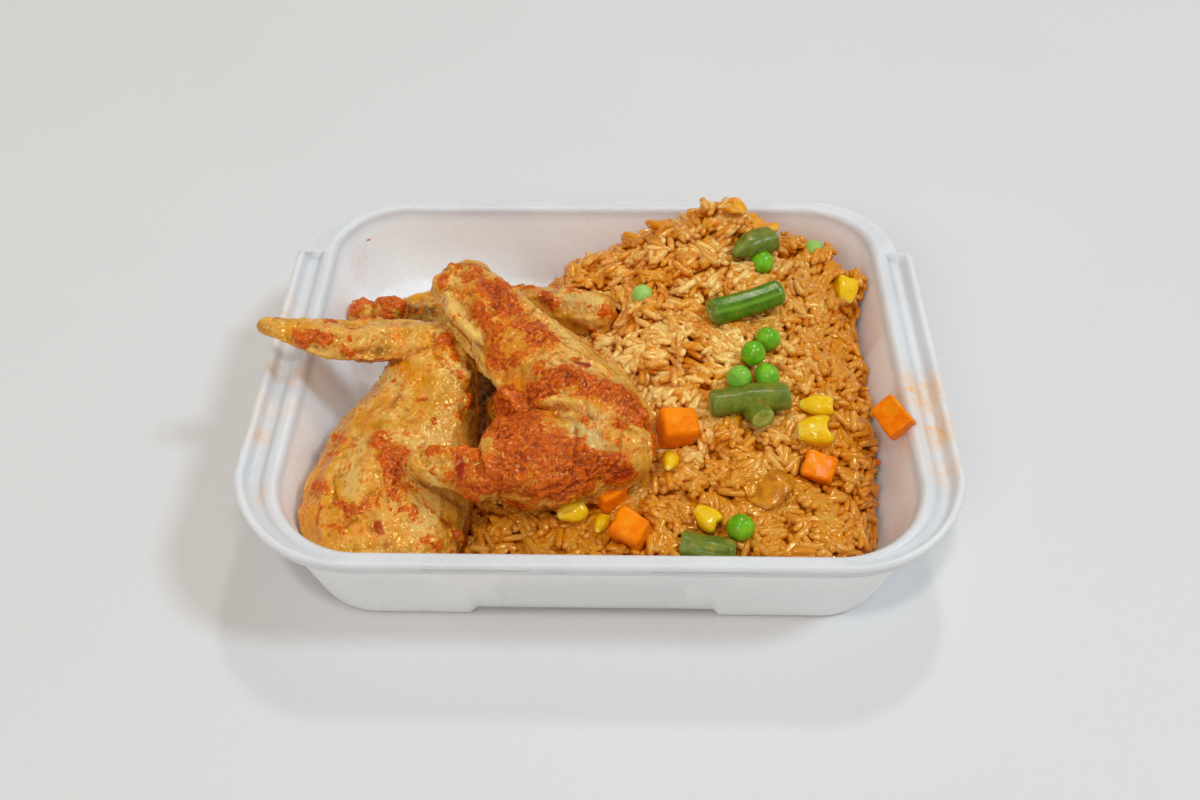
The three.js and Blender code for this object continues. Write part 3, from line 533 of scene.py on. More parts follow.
# chicken wings, from merged copies of the solids: remeshed finely, then sculpted and stained
# each mark has a radius and a strength, then x, y, z of every place that it runs through;
# a fold's strength is its height
wingMarks = {
    "wing_left": {
        "folds": (
            (2.4, 1.94, -51, -10, 48, -45, -13, 44), (2.4, 1.08, -91, -2, 55, -74, -2, 53),
            (4, 1.3, -61, -9, 47, -51, -17, 46), (5.6, 1.08, -72, -50, 41, -77, -60, 38),
            (3.2, 0.86, -80, -23, 38, -86, -48, 37),
        ),
        "sauce": (
            (1.8, 0.95, -102, -5, 55, -99, -7, 53), (2.1, 0.9, -98, -6, 54, -95, -5, 54, -92, -6, 54),
            (1.2, 0.8, -86, -8, 52, -83, -9, 51), (2.1, 0.9, -53, -1, 49, -51, -5, 48),
            (1.6, 0.9, -44, -19, 40, -44, -21, 39), (1.2, 0.8, -47, -26, 41, -46, -28, 38),
            (3, 1, -70, -39, 42, -67, -44, 41, -65, -49, 40, -65, -52, 39),
            (2.1, 0.8, -64, -42, 41, -62, -44, 40), (1.8, 0.8, -65, -57, 39, -63, -59, 38),
            (1.2, 0.7, -61, -56, 38, -59, -54, 38), (1.8, 0.6, -88, -31, 34, -83, -37, 38),
            (1.8, 0.6, -88, -38, 35, -85, -42, 37), (1.8, 0.7, -90, -52, 34, -86, -56, 37),
            (1.9, 0.9, -81, -61, 37, -76, -64, 37, -73, -63, 38),
            (1.8, 0.7, -81, -69, 36, -79, -71, 35), (1.4, 0.6, -59, -62, 36, -57, -64, 36),
            (1.8, 0.7, -53, -72, 33, -50, -72, 31), (1.8, 0.5, -45, -65, 27, -44, -64, 22),
            (1.2, 0.6, -47, -14, 45, -45, -16, 43), (1.4, 0.7, -50, -8, 48, -48, -9, 47),
        ),
        "stain": (
            (3.2, 0.3, -101, -3, 55, -86, -2, 54), (2.1, 0.75, -70, 0, 53, -67, -4, 51),
            (3.2, 0.65, -67, -8, 46, -63, -14, 46), (2.8, 0.5, -72, -22, 43, -68, -25, 44),
            (2.8, 0.6, -77, -17, 39), (3.2, 0.55, -84, -30, 36), (3.2, 0.6, -78, -28, 40, -75, -32, 41),
            (4.2, 0.6, -90, -31, 31, -89, -46, 35, -91, -57, 34),
            (4.2, 0.55, -93, -58, 32, -84, -74, 34), (2.8, 0.3, -65, -33, 42, -57, -34, 41),
            (4.2, 0.35, -56, -23, 45, -48, -22, 43), (3.2, 0.45, -70, -57, 39, -64, -66, 36),
            (3.5, 0.5, -78, -65, 37, -70, -73, 35), (2.8, 0.5, -61, -72, 34, -44, -66, 22),
            (2.8, 0.5, -59, -4, 49, -54, -6, 49), (1.8, 0.8, -114, -1, 55, -112, -2, 55),
            (2.1, 0.5, -87, -9, 51, -77, -8, 50), (2.8, 0.4, -48, -31, 40, -45, -33, 35),
            (2.8, 0.4, -73, -47, 41, -70, -54, 40),
        ),
        "pale": (
            (3.2, 0.7, -70, -13, 44, -66, -20, 44), (3.5, 0.8, -77, -52, 39, -77, -57, 38),
            (4.6, 1, -54, -58, 35, -54, -67, 34), (2.8, 0.8, -64, -62, 37, -65, -65, 37),
            (4.2, 0.5, -63, -38, 41, -52, -35, 39), (2.8, 0.35, -91, -2, 55, -71, 0, 53),
            (2.8, 0.6, -78, -38, 40, -78, -44, 40), (2.8, 0.5, -64, -5, 49, -61, -9, 47),
            (3.2, 0.7, -51, -46, 35, -56, -53, 37), (2.5, 0.9, -51, -10, 48, -45, -13, 45),
            (1.4, 0.7, -97, -8, 52, -88, -9, 51),
        ),
        "brown_and_shade": (
            (1.4, 0.7, -114, -1, 55, -112, -2, 55), (1.8, 0.8, -44, -8, 44, -43, -14, 41, -42, -23, 33),
            (0.8, 1.2, -76, -62, 38, -76, -63, 38), (1.2, 0.5, -66, -22, 44, -68, -26, 44),
            (1.4, 0.5, -88, -11, 50, -78, -9, 46), (1.4, 0.6, -76, -8, 50, -72, -7, 50),
            (2.8, 0.6, -43, -58, 28, -44, -66, 25), (2.1, 0.5, -48, -48, 33, -42, -52, 28),
        ),
        "red": (
            (1.2, 1, -68, -68, 36, -67, -70, 36), (0.9, 0.7, -79, -62, 37, -78, -64, 37),
            (0.9, 0.5, -45, -65, 27, -45, -66, 27),
        ),
        "ragged": (
            (2.5, 1, -51, -11, 48, -45, -12, 45), (2.5, 0.9, -45, -1, 44),
            (1.4, 0.5, -46, -20, 41, -44, -22, 37),
        ),
    },
    "wing_right": {
        "folds": (
            (5, -3, -14, -62, 34, -3, -62, 38), (4, -2.2, -3, -62, 38, 5, -59.5, 41),
            (2, 3.02, -52, 13, 55, -50, 7, 55, -46, 2, 54, -43, -2, 54, -41, -5, 54),
            (1.6, 1.2, -42, -7, 52, -38, -12, 51, -35, -16, 50, -33, -21, 49, -30, -27, 51),
            (1.6, 2.16, -19, -32, 52, -12, -33, 55, -8, -35, 56), (2, 2.38, -33, -48, 53, -32, -57, 51),
            (2, 1.73, -51, -50, 49, -37, -51, 50), (2.8, 2.16, -43, 15, 58, -39, 8, 57),
            (4.4, 1.94, -34, 0, 57, -28, -4, 57), (5.6, 1.94, 7, -48, 54, 13, -52, 47),
            (1.2, 1.08, -17, -16, 57, -3, -28, 58), (1.2, 1.08, -13, -11, 57, 3, -22, 55),
            (3.6, 1.3, -5, -46, 56, 0, -51, 55),
        ),
        "sauce": (
            (2.3, 0.95, -51, 26, 57), (2.7, 0.7, -44, 26, 57, -45, 19, 58),
            (5, 0.95, -37, 16, 57, -32, 5, 57), (2.7, 0.8, -41, 6, 57, -38, -1, 56),
            (5, 0.95, -24, -3, 58, -18, -8, 58), (2.7, 0.7, -34, -6, 56, -35, -11, 54),
            (3.2, 0.65, -26, -17, 56, -30, -16, 54, -34, -13, 53),
            (4.3, 1, -21, -30, 52, -15, -27, 56, -9, -26, 58, -2, -29, 57, 5, -31, 56),
            (4.6, 1, 5, -31, 56, 10, -34, 54, 13, -37, 52),
            (3.2, 0.95, 13, -37, 52, 16, -39, 48, 17, -45, 46),
            (5.5, 1, -30, -29, 48, -25, -40, 55, -21, -48, 57, -16, -50, 56),
            (5.9, 1, -16, -50, 56, -12, -54, 55, -7, -55, 54),
            (4.1, 1, -7, -55, 54, -2, -56, 52, 3, -55, 49, 8, -55, 46),
            (4.6, 0.9, -31, -41, 53, -26, -51, 56, -22, -55, 54),
            (5.5, 1, -30, -59, 49, -24, -61, 51, -17, -63, 50),
            (4.6, 1, -17, -63, 50, -11, -62, 46, -9, -61, 49, -4, -59, 48), (4.6, 0.95, -26, -59, 34),
            (1.2, 0.9, -4, -42, 56, -4, -44, 57), (2.1, 0.9, 7, -43, 55, 7, -44, 55),
            (1.8, 0.7, 4, -49, 55, 5, -49, 55), (1.8, 0.8, 17, -47, 47),
            (2.7, 0.9, -9, -58, 52, -11, -57, 54), (1.8, 0.6, -54, 22, 57, -55, 19, 56),
            (1.8, 0.5, -49, 15, 57, -47, 11, 57), (2.7, 0.7, -19, -22, 57, -16, -24, 57),
            (1.8, 0.75, -52, -50, 49, -49, -51, 50, -37, -53, 50),
            (2.8, 0.95, -40, -58, 49, -38, -61, 41), (1.8, 0.7, -44, -58, 49, -46, -58, 47),
            (1.1, 0.6, -36, -57, 50, -35, -59, 49),
        ),
        "stain": (
            (4.2, 0.75, -34, 0, 57, -27, -4, 57), (3.2, 0.6, -45, 17, 58, -42, 10, 57),
            (4.2, 0.8, -33, -9, 55, -24, -14, 57), (4.2, 0.8, -31, -19, 52, -24, -26, 52),
            (3.2, 0.8, -20, -34, 51, -15, -40, 56), (3.2, 0.6, -29, 12, 56, -25, 3, 57),
            (2.8, 0.5, -17, -11, 58, -13, -14, 58), (2.8, 0.3, -3, -16, 55, 4, -24, 55),
            (4.9, 0.45, 6, -48, 54, 13, -52, 47), (2.8, 0.5, -24, -60, 36, -7, -62, 45),
            (3.2, 0.6, -33, -48, 53, -32, -57, 50), (2.8, 0.8, -41, -54, 50, -36, -54, 51),
            (2.8, 0.7, 10, -36, 54), (2.8, 0.5, -6, -32, 57, 1, -35, 56),
            (2.5, 0.5, -44, 31, 55, -38, 29, 53),
        ),
        "pale": (
            (2.1, 1.1, -53, 13, 55, -50, 8, 55, -47, 2, 54, -44, -2, 54, -41, -6, 53),
            (1.4, 0.9, -44, -6, 51, -40, -11, 50, -37, -16, 49, -34, -20, 48, -31, -27, 50),
            (2.5, 0.6, -36, 24, 54, -29, 19, 52), (3.2, 0.65, -22, 6, 56, -15, -3, 56, -8, -9, 55),
            (2.5, 0.8, -11, -14, 57, -3, -21, 57, 4, -23, 55), (2.5, 0.9, -17, -17, 57, -12, -20, 58),
            (2.1, 0.9, -17, -32, 53, -11, -34, 55), (1.4, 0.9, -12, -32, 56, -10, -37, 54),
            (2.1, 0.6, -51, 20, 57, -46, 17, 57), (2.1, 0.7, -58, 16, 51),
            (1.8, 0.7, -32, -49, 54, -30, -51, 55), (1.8, 1, -52, -57, 46, -50, -58, 45),
            (2.1, 0.5, -21, -63, 43, -11, -63, 43), (1.4, 0.5, -3, -26, 58, 0, -28, 58),
            (1.4, 0.8, -33, -17, 51, -32, -24, 49),
        ),
        "grey": (
            (3.2, 1, -6, -46, 57, 0, -51, 55), (2.8, 0.75, -5, -37, 56, -1, -42, 56),
            (1.8, 0.6, -17, -54, 56, -16, -56, 55), (2.1, 0.6, 4, -51, 53, 3, -53, 51),
            (2.1, 0.5, -11, -36, 54, -8, -42, 56),
        ),
        "brown_and_shade": (
            (1.4, 0.8, -55, 27, 56, -46, 29, 57, -38, 28, 53), (1.8, 0.4, -33, -42, 52, -32, -52, 54),
            (1.8, 0.5, -42, -61, 44, -39, -60, 40), (1.4, 0.7, -34, -60, 48),
            (0.8, 0.7, -22, -38, 54, -14, -46, 57, -9, -52, 56), (1.4, 0.4, 1, -56, 49, 12, -53, 45),
            (1.4, 0.5, -59, 20, 52), (1.1, 0.5, -40, -7, 53, -37, -11, 53),
        ),
        "red": (
            (1.2, 1.2, -7, -19, 58, -4, -20, 57), (1.8, 1.1, -42, -55, 50, -42, -57, 49),
            (1.8, 0.8, 6, -55, 47, 8, -54, 46), (1.2, 0.6, -23, -55, 54, -21, -56, 54),
            (1.1, 0.6, -53, 28, 57),
        ),
        "ragged": (
            (3.2, 1.2, -56, 24, 56, -54, 12, 55, -52, 7, 51), (2.5, 1.2, -55, 27, 56, -46, 28, 57),
            (1.4, 0.4, -53, 11, 55, -44, -4, 53), (2.1, 0.8, -44, -5, 51, -32, -24, 49),
            (2.8, 1.1, -53, -52, 50), (2.8, 0.9, -21, -62, 37, -13, -63, 39),
            (2.1, 0.9, -19, -32, 53, -10, -35, 55), (1.4, 0.4, -4, -42, 56, 0, -48, 56),
            (2.1, 0.7, -33, -49, 54),
        ),
    },
    "wing_back": {
        "folds": (
            (3.6, 1.51, -14, 33, 39, -1, 27, 41),
        ),
        "sauce": (
            (2.5, 1, -93, 38, 26), (2.1, 0.95, -93, 43, 24, -88, 40, 25),
            (2.8, 1, -83, 40, 27, -77, 39, 27), (2.3, 1, -81, 35, 26, -79, 35, 21),
            (1.6, 0.9, -30, 40, 35, -27, 38, 36), (1.8, 0.8, -21, 32, 39, -17, 27, 38),
            (2.3, 1, 0, 22, 39, 6, 28, 31), (1.4, 0.7, -4, 19, 35, -1, 18, 33),
            (1.4, 0.5, -13, 35, 39, -9, 30, 40),
        ),
        "stain": (
            (2.8, 0.6, -87, 35, 23), (2.8, 0.6, -17, 26, 37, -10, 20, 36),
            (2.8, 0.6, -25, 37, 37, -21, 29, 39), (2.5, 0.6, -1, 19, 36),
        ),
        "pale": (
            (3.5, 1, -12, 28, 40, -1, 25, 41), (2.5, 0.7, -8, 21, 38, -1, 19, 38),
            (2.1, 0.5, -20, 36, 38, -14, 35, 38),
        ),
        "grey": (
            (3.2, 0.5, -10, 27, 41, -4, 24, 41),
        ),
        "brown_and_shade": (
            (2.5, 1.1, -76, 40, 23, -64, 36, 26), (1.8, 0.8, -75, 36, 23, -65, 33, 24),
            (1.4, 0.5, -21, 29, 39), (1.4, 0.6, -10, 20, 35, -1, 19, 35),
        ),
        "red": (
            (0.9, 0.6, -21, 30, 39, -19, 28, 38), (1.1, 0.7, -4, 19, 34, -3, 18, 33),
        ),
        "ragged": (
            (3.2, 1.2, -64, 38, 27), (2.1, 0.9, -16, 33, 39), (1.8, 0.7, -4, 19, 36),
        ),
    },
}
# how soft the edge of each kind of mark is
wingMarkEdges = {
    "sauce": 0.6,
    "stain": 0.9,
    "pale": 0.7,
    "grey": 0.6,
    "brown_and_shade": 0.7,
    "red": 0.4,
    "ragged": 0.6,
}
wingFinish = {
    "voxel": 0.55,
    "smooth": 6,
    # heights in millimetres
    "waves": {"wing_left": 0.9, "wing_right": 1.35, "wing_back": 0.9},
    "ripples": 0.75,
    "pimples": 0.34,
    "creases": 0.7,
    "sauce": 0.8,
    "grit": 1.7,
    "rags": 1.3,
    "fibres": 0.42,
    "fibreWay": (0.66, -0.75, -0.05),
    "hollow": 0.4,
    # the gap between the wings is painted dark brown as shade: x, y, half sizes
    "gap": (-43, 4, 15, 34),
    "seenFrom": (0.02, -0.66, 0.75),
}


# distance to a line that runs through the path's places, or to its only place
def pathDistance(points, path):
    places = np.array(path, float).reshape(-1, 3)
    nearest = np.full(len(points), np.inf)
    for start, stop in zip(places, places[1:] if len(places) > 1 else places):
        along = stop - start
        t = np.clip((points - start) @ along / max(along @ along, 1e-6), 0, 1)
        nearest = np.minimum(nearest, np.linalg.norm(points - start - t[:, None] * along, axis=1))
    return nearest


# how strongly each point is marked: full within the marks' radius, with a soft and wavy edge
def markMask(points, marks, edge, wobble):
    total = np.zeros(len(points))
    for radius, strength, *path in marks:
        away = pathDistance(points, path) + radius * wobble
        within = 1 - smoothstep(away, radius * (1 - edge), radius * (1 + edge))
        total = np.maximum(total, strength * within)
    return total


# ridges, and valleys where a fold's height is below 0
def foldHeight(points, folds):
    ridge, valley = np.zeros(len(points)), np.zeros(len(points))
    for radius, height, *path in folds:
        fold = height * bell(pathDistance(points, path), radius)
        ridge, valley = np.maximum(ridge, fold), np.minimum(valley, fold)
    return ridge + valley


# a merged, finely remeshed copy of a solid
def remeshedCopy(node, voxel, smooth):
    bm = bmesh.new()
    bm.from_mesh(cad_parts[node].data)
    bmesh.ops.remove_doubles(bm, verts=bm.verts, dist=1e-6)
    rough = bpy.data.objects.new("rough", meshFrom(bm, "rough"))
    bpy.context.scene.collection.objects.link(rough)
    remesh = rough.modifiers.new("remesh", "REMESH")
    remesh.mode = "VOXEL"
    remesh.voxel_size = voxel * mm
    soft = rough.modifiers.new("soft", "SMOOTH")
    soft.factor = 0.5
    soft.iterations = smooth
    mesh = bpy.data.meshes.new_from_object(rough.evaluated_get(bpy.context.evaluated_depsgraph_get()))
    bpy.data.objects.remove(rough)
    return mesh


def roundBlank(subdivisions):
    bm = bmesh.new()
    bmesh.ops.create_icosphere(bm, subdivisions=subdivisions, radius=1)
    mesh = meshFrom(bm, "blank")
    return mesh, coordinates(mesh)


# how deep each point lies under its surroundings, some two millimetres wide: above 0 in a hollow
def hollowness(mesh, co, normal, rounds=12):
    ends = np.zeros(len(mesh.edges) * 2, int)
    mesh.edges.foreach_get("vertices", ends)
    a, b = ends.reshape(-1, 2).T
    count = np.bincount(a, minlength=len(co)) + np.bincount(b, minlength=len(co))
    soft = co.copy()
    for _ in range(rounds):
        total = np.stack([np.bincount(a, soft[b, k], len(co)) for k in range(3)], axis=1)
        total += np.stack([np.bincount(b, soft[a, k], len(co)) for k in range(3)], axis=1)
        soft = total / count[:, None]
    return ((soft - co) * normal).sum(axis=1)


# how strongly each kind of mark shows at every point of a wing
def wingMasks(node, co, normal):
    wobble = 0.45 * softNoise(co, 2.4, 3, 3) + 0.35 * softNoise(co, 6.5, 4, 2)
    masks = {}
    for kind, edge in wingMarkEdges.items():
        masks[kind] = markMask(co, wingMarks[node].get(kind, ()), edge, wobble)
    # painted shade: the wings' flanks in the gap between them take the dark brown tone
    x, y, halfX, halfY = wingFinish["gap"]
    gap = bell(np.hypot((co[:, 0] - x) / halfX, (co[:, 1] - y) / halfY), 1.0)
    masks["brown_and_shade"] = np.maximum(masks["brown_and_shade"], 1.2 * gap * (1 - smoothstep(co[:, 2], 26, 44)))
    # the sides that face away are spotted by chance
    unseen = 1 - smoothstep(normal @ np.array(wingFinish["seenFrom"]), -0.15, 0.25)
    masks["sauce"] = np.maximum(masks["sauce"], 0.9 * unseen * patches(co, 13.0, 61, 3, 0.16, 0.3))
    masks["stain"] = np.maximum(masks["stain"], 0.6 * unseen * patches(co, 16.0, 67, 3, 0.0, 0.3))
    return masks


# a wing with its skin, folds and sauce crust as relief, and its marks as attributes
def sculptWing(node):
    finish = wingFinish
    mesh = remeshedCopy(node, finish["voxel"], finish["smooth"])
    co, normal = coordinates(mesh) / mm, normalsOf(mesh)
    masks = wingMasks(node, co, normal)
    sauce = masks["sauce"] * (1 - 0.5 * patches(co, 3.2, 19, 2, 0.2, 0.55))
    speck = patches(co, 3.0, 29, 2, 0.42, 0.6) * patches(co, 15.0, 31, 2, -0.2, 0.3)
    grit = 1 - np.clip(lumpNoise(co, 1.5, 5), 0, 1)
    fine = 1 - np.clip(lumpNoise(co, 0.9, 8), 0, 1)
    pimple = smoothstep(0.5 - lumpNoise(co, 2.1, 12), 0, 0.45) * patches(co, 9.0, 14, 2, -0.5, 0.4)
    lift = finish["waves"][node] * softNoise(co, 12.0, 1, 2)
    lift += finish["ripples"] * softNoise(co, 4.2, 2, 3)
    folds = foldHeight(co, wingMarks[node]["folds"])
    lift += folds
    lift += (1 - sauce) * (finish["pimples"] * pimple + 0.12 * fine)
    # creases where the skin is drawn together
    crease = bell(softNoise(co * [1, 0.6, 1], 10.0, 83, 2), 0.1)
    lift -= finish["creases"] * crease * patches(co, 21.0, 85, 2, -0.3, 0.3)
    lift += sauce * (finish["sauce"] + finish["grit"] * (0.7 * grit + 0.35 * fine - 0.2))
    lift += masks["ragged"] * finish["rags"] * softNoise(co, 2.4, 41, 3) + 0.25 * speck * grit
    if node == "wing_right":
        # stretched fibres run down the upper part
        way = np.array(finish["fibreWay"])
        length = co @ way
        across = co - length[:, None] * way
        fibre = softNoise(across / 1.3 + length[:, None] * way / 11.0, 1.0, 71, 2)
        shown = np.clip(masks["pale"] * 1.4 + 0.25 * (co[:, 1] > -25), 0, 1)
        lift += finish["fibres"] * fibre * shown * (1 - sauce)
    moved = co + normal * lift[:, None]
    hollow = hollowness(mesh, moved, normal) / finish["hollow"]
    setCoordinates(mesh, moved * mm)
    masks["sauce"] = np.clip(sauce + 0.75 * speck, 0, 1)
    for kind in wingKinds:
        setAttribute(mesh, kind, masks[kind])
    # painted shade in hollows and in the valleys of folds, painted light on crests
    setAttribute(mesh, "hollow_shade", np.clip(hollow + 0.15 * np.clip(-folds, 0, 3), 0, 1))
    setAttribute(mesh, "crest", np.clip(-hollow, 0, 1))
    return mesh


# a glossy, faintly translucent cooked surface; its broad reflections are warm, as its own oil is
def foodSkin(name, rough, through, depth, radius, sheen=(1.0, 0.8, 0.48)):
    values = {
        "Roughness": rough,
        "Subsurface Weight": through,
        "Subsurface Radius": radius,
        "Subsurface Scale": depth,
        "Specular Tint": (*sheen, 1.0),
    }
    return newMaterial(name, values)


# a smooth film of oil over the relief, for small bright highlights
def oilFilm(shader, weight, rough):
    shader.inputs["Specular IOR Level"].default_value = 0.25
    shader.inputs["Coat Weight"].default_value = weight
    shader.inputs["Coat Roughness"].default_value = rough


chickenLook = (0.3, 0.2, 0.0025, (1.0, 0.5, 0.2), (1.0, 0.7, 0.3))
chickenSkin, tree, shader, place = foodSkin("chickenSkin", *chickenLook)
wingKinds = ("sauce", "stain", "pale", "grey", "brown_and_shade", "red")
marked = {kind: attributeNode(tree, kind) for kind in (*wingKinds, "hollow_shade", "crest")}
broad = noiseNode(tree, place, 75.0, 4.0, 0.6)
middling = noiseNode(tree, place, 260.0, 4.0, 0.6)
# bare skin, from golden to cream
skin = mixed(tree, ranged(tree, middling, 0.35, 0.66), (0.6, 0.27, 0.012), (0.86, 0.59, 0.26))
skin = mixed(tree, ranged(tree, broad, 0.47, 0.62, 0.0, 0.72), skin, (0.76, 0.33, 0.003))
skin = mixed(tree, marked["pale"], skin, (0.84, 0.58, 0.27))
skin = mixed(tree, marked["grey"], skin, (0.6, 0.45, 0.28))
stained = sums(tree, "MULTIPLY", marked["stain"], ranged(tree, middling, 0.3, 0.62, 0.35, 1.3), True)
skin = mixed(tree, stained, skin, (0.8, 0.25, 0.002))
spotted = ranged(tree, noiseNode(tree, place, 420.0, 3.0, 0.65), 0.58, 0.68, 0.0, 0.75)
skin = mixed(tree, spotted, skin, (0.74, 0.17, 0.002))
# browned skin, and painted shade in the gap between the wings and in dark corners
brownAndShaded = sums(tree, "MULTIPLY", marked["brown_and_shade"], ranged(tree, middling, 0.3, 0.55, 0.4, 1.1), True)
skin = mixed(tree, brownAndShaded, skin, (0.13, 0.03, 0.003))
# painted light on crests, then painted shade in hollows
skin = mixed(tree, sums(tree, "MULTIPLY", marked["crest"], 0.4), skin, (0.95, 0.62, 0.2))
hollowShade = ranged(tree, marked["hollow_shade"], 0.1, 0.9, 0.0, 0.8)
skin = mixed(tree, hollowShade, skin, (0.4, 0.085, 0.001))
# red sauce with its grains, with painted shade in its hollows and painted light on its crests
blotch = ranged(tree, middling, 0.35, 0.62)
sauceTone = mixed(tree, blotch, (0.36, 0.03, 0.0), (0.6, 0.08, 0.0))
grains = ranged(tree, cellNode(tree, place, 1000.0), 0.05, 0.4)
sauceTone = mixed(tree, grains, (0.82, 0.2, 0.0), sauceTone)
darkFlecks = ranged(tree, noiseNode(tree, place, 330.0, 2.0), 0.6, 0.7, 0.0, 0.7)
sauceTone = mixed(tree, darkFlecks, sauceTone, (0.4, 0.018, 0.0))
sauceTone = mixed(tree, hollowShade, sauceTone, (0.22, 0.014, 0.0))
sauceTone = mixed(tree, sums(tree, "MULTIPLY", marked["crest"], 0.5), sauceTone, (0.82, 0.17, 0.0))
# the sauce's edge is ragged, with an orange rim
sauceEdge = sums(tree, "ADD", marked["sauce"], ranged(tree, middling, 0.3, 0.7, -0.34, 0.34))
fineEdge = ranged(tree, noiseNode(tree, place, 750.0, 3.0, 0.6), 0.3, 0.7, -0.25, 0.25)
sauceEdge = sums(tree, "ADD", sauceEdge, fineEdge)
skin = mixed(tree, ranged(tree, sauceEdge, 0.05, 0.5, 0.0, 0.9), skin, (0.78, 0.2, 0.0))
skin = mixed(tree, ranged(tree, sauceEdge, 0.3, 0.72), skin, sauceTone)
skin = mixed(tree, sums(tree, "MULTIPLY", marked["red"], 0.9, True), skin, (0.36, 0.012, 0.001))
connect(tree, shader, Base_Color=mixed(tree, 1.0, skin, (0.92, 0.84, 0.5), "MULTIPLY"))
connect(tree, shader, Roughness=ranged(tree, middling, 0.3, 0.7, 0.17, 0.3))
pores = cellNode(tree, place, 800.0)
relief = bumped(tree, pores, ranged(tree, sauceEdge, 0.1, 0.5, 0.22, 0.6), 0.0007)
wrinkles = noiseNode(tree, place, 480.0, 1.5, 0.5)
relief = bumped(tree, wrinkles, ranged(tree, sauceEdge, 0.1, 0.5, 0.35, 0.5), 0.0014, relief)
connect(tree, shader, Normal=relief, Coat_Normal=relief)
shader.inputs["Specular IOR Level"].default_value = 0.7
shader.inputs["Coat Weight"].default_value = 0.05
shader.inputs["Coat Roughness"].default_value = 0.06

# a dark sauce puddle on the floor between the wings, partly painted shade: it darkens the shadowed gap
poolShape = {"at": (-44, 10, 5.2), "half": (17, 34, 3.4)}
floorTop = 5.05  # food stays above the box's inner floor


def sauceShadePool():
    mesh, way = roundBlank(6)
    co = way * np.array(poolShape["half"])
    co[:, :2] *= (1 + 0.22 * softNoise(way, 0.8, 3, 3))[:, None]
    co[:, 2] *= 1 + 0.9 * softNoise(co, 7.0, 5, 3)
    co += poolShape["at"]
    co[:, 2] = np.maximum(co[:, 2], floorTop)
    setCoordinates(mesh, co * mm)
    return mesh


poolSkin, tree, shader, place = foodSkin("sauceShadePool", 0.22, 0.0, 0.001, (1.0, 0.4, 0.1))
blotch = noiseNode(tree, place, 160.0, 4.0, 0.6)
tone = mixed(tree, ranged(tree, blotch, 0.35, 0.65), (0.05, 0.014, 0.003), (0.2, 0.06, 0.008))
connect(tree, shader, Base_Color=tone)
connect(tree, shader, Normal=bumped(tree, noiseNode(tree, place, 380.0, 4.0), 0.6, 0.0012))
shownObject("sauce_shade_pool", sauceShadePool(), poolSkin)

wingSlots = {
    "wing_left": "chicken_skin",
    "wing_right": "chicken_sauced",
    "wing_back": "chicken_sauced",
}
for wing, slotName in wingSlots.items():
    mesh = sculptWing(wing)
    shownObject(wing + "_meat", mesh, chickenSkin, [wing])
    print(wing, len(mesh.polygons), "faces")


# the heap's height: it climbs from its front to a crest at the back, and falls off at its edges
def heapHeight(x, y):
    crest = 31 + 26 * bell(x - 47, 23) + 7 * bell(x - 82, 13) + 12 * bell(x - 18, 15)
    front = 30 - 9 * (1 - smoothstep(x, -42, 0)) - 5 * smoothstep(x, 78, 95)
    t = np.clip((y + 75) / 132, 0, 1)
    h = front + (crest - front) * (0.75 * t + 0.25 * t * t)
    h = h - 1.15 * np.maximum(0, y - 58)
    # right edge, with its back and front corners
    h = h - (13 - 7 * bell(y + 18, 24)) * smoothstep(x, 80, 100) * (1 - smoothstep(y, 30, 58))
    h = h - 9 * smoothstep(x, 80, 91) * smoothstep(y, 42, 55) - 9 * bell(np.hypot(x - 97, y - 45), 7)
    h = h - 11 * smoothstep(x, 74, 92) * (1 - smoothstep(y, -52, -26))
    # left edge, beside the wings
    leftEdge = -47 + 27 * smoothstep(y, -60, 60) - 13 * bell(y + 8, 38)
    h = h - 34 * (1 - smoothstep(x, leftEdge - 8, leftEdge + 8))
    # low waves
    return h + 1.3 * np.sin(x / 7.3 + 1.1) * np.cos(y / 8.1) + 0.9 * np.sin((x + y) / 5.2)


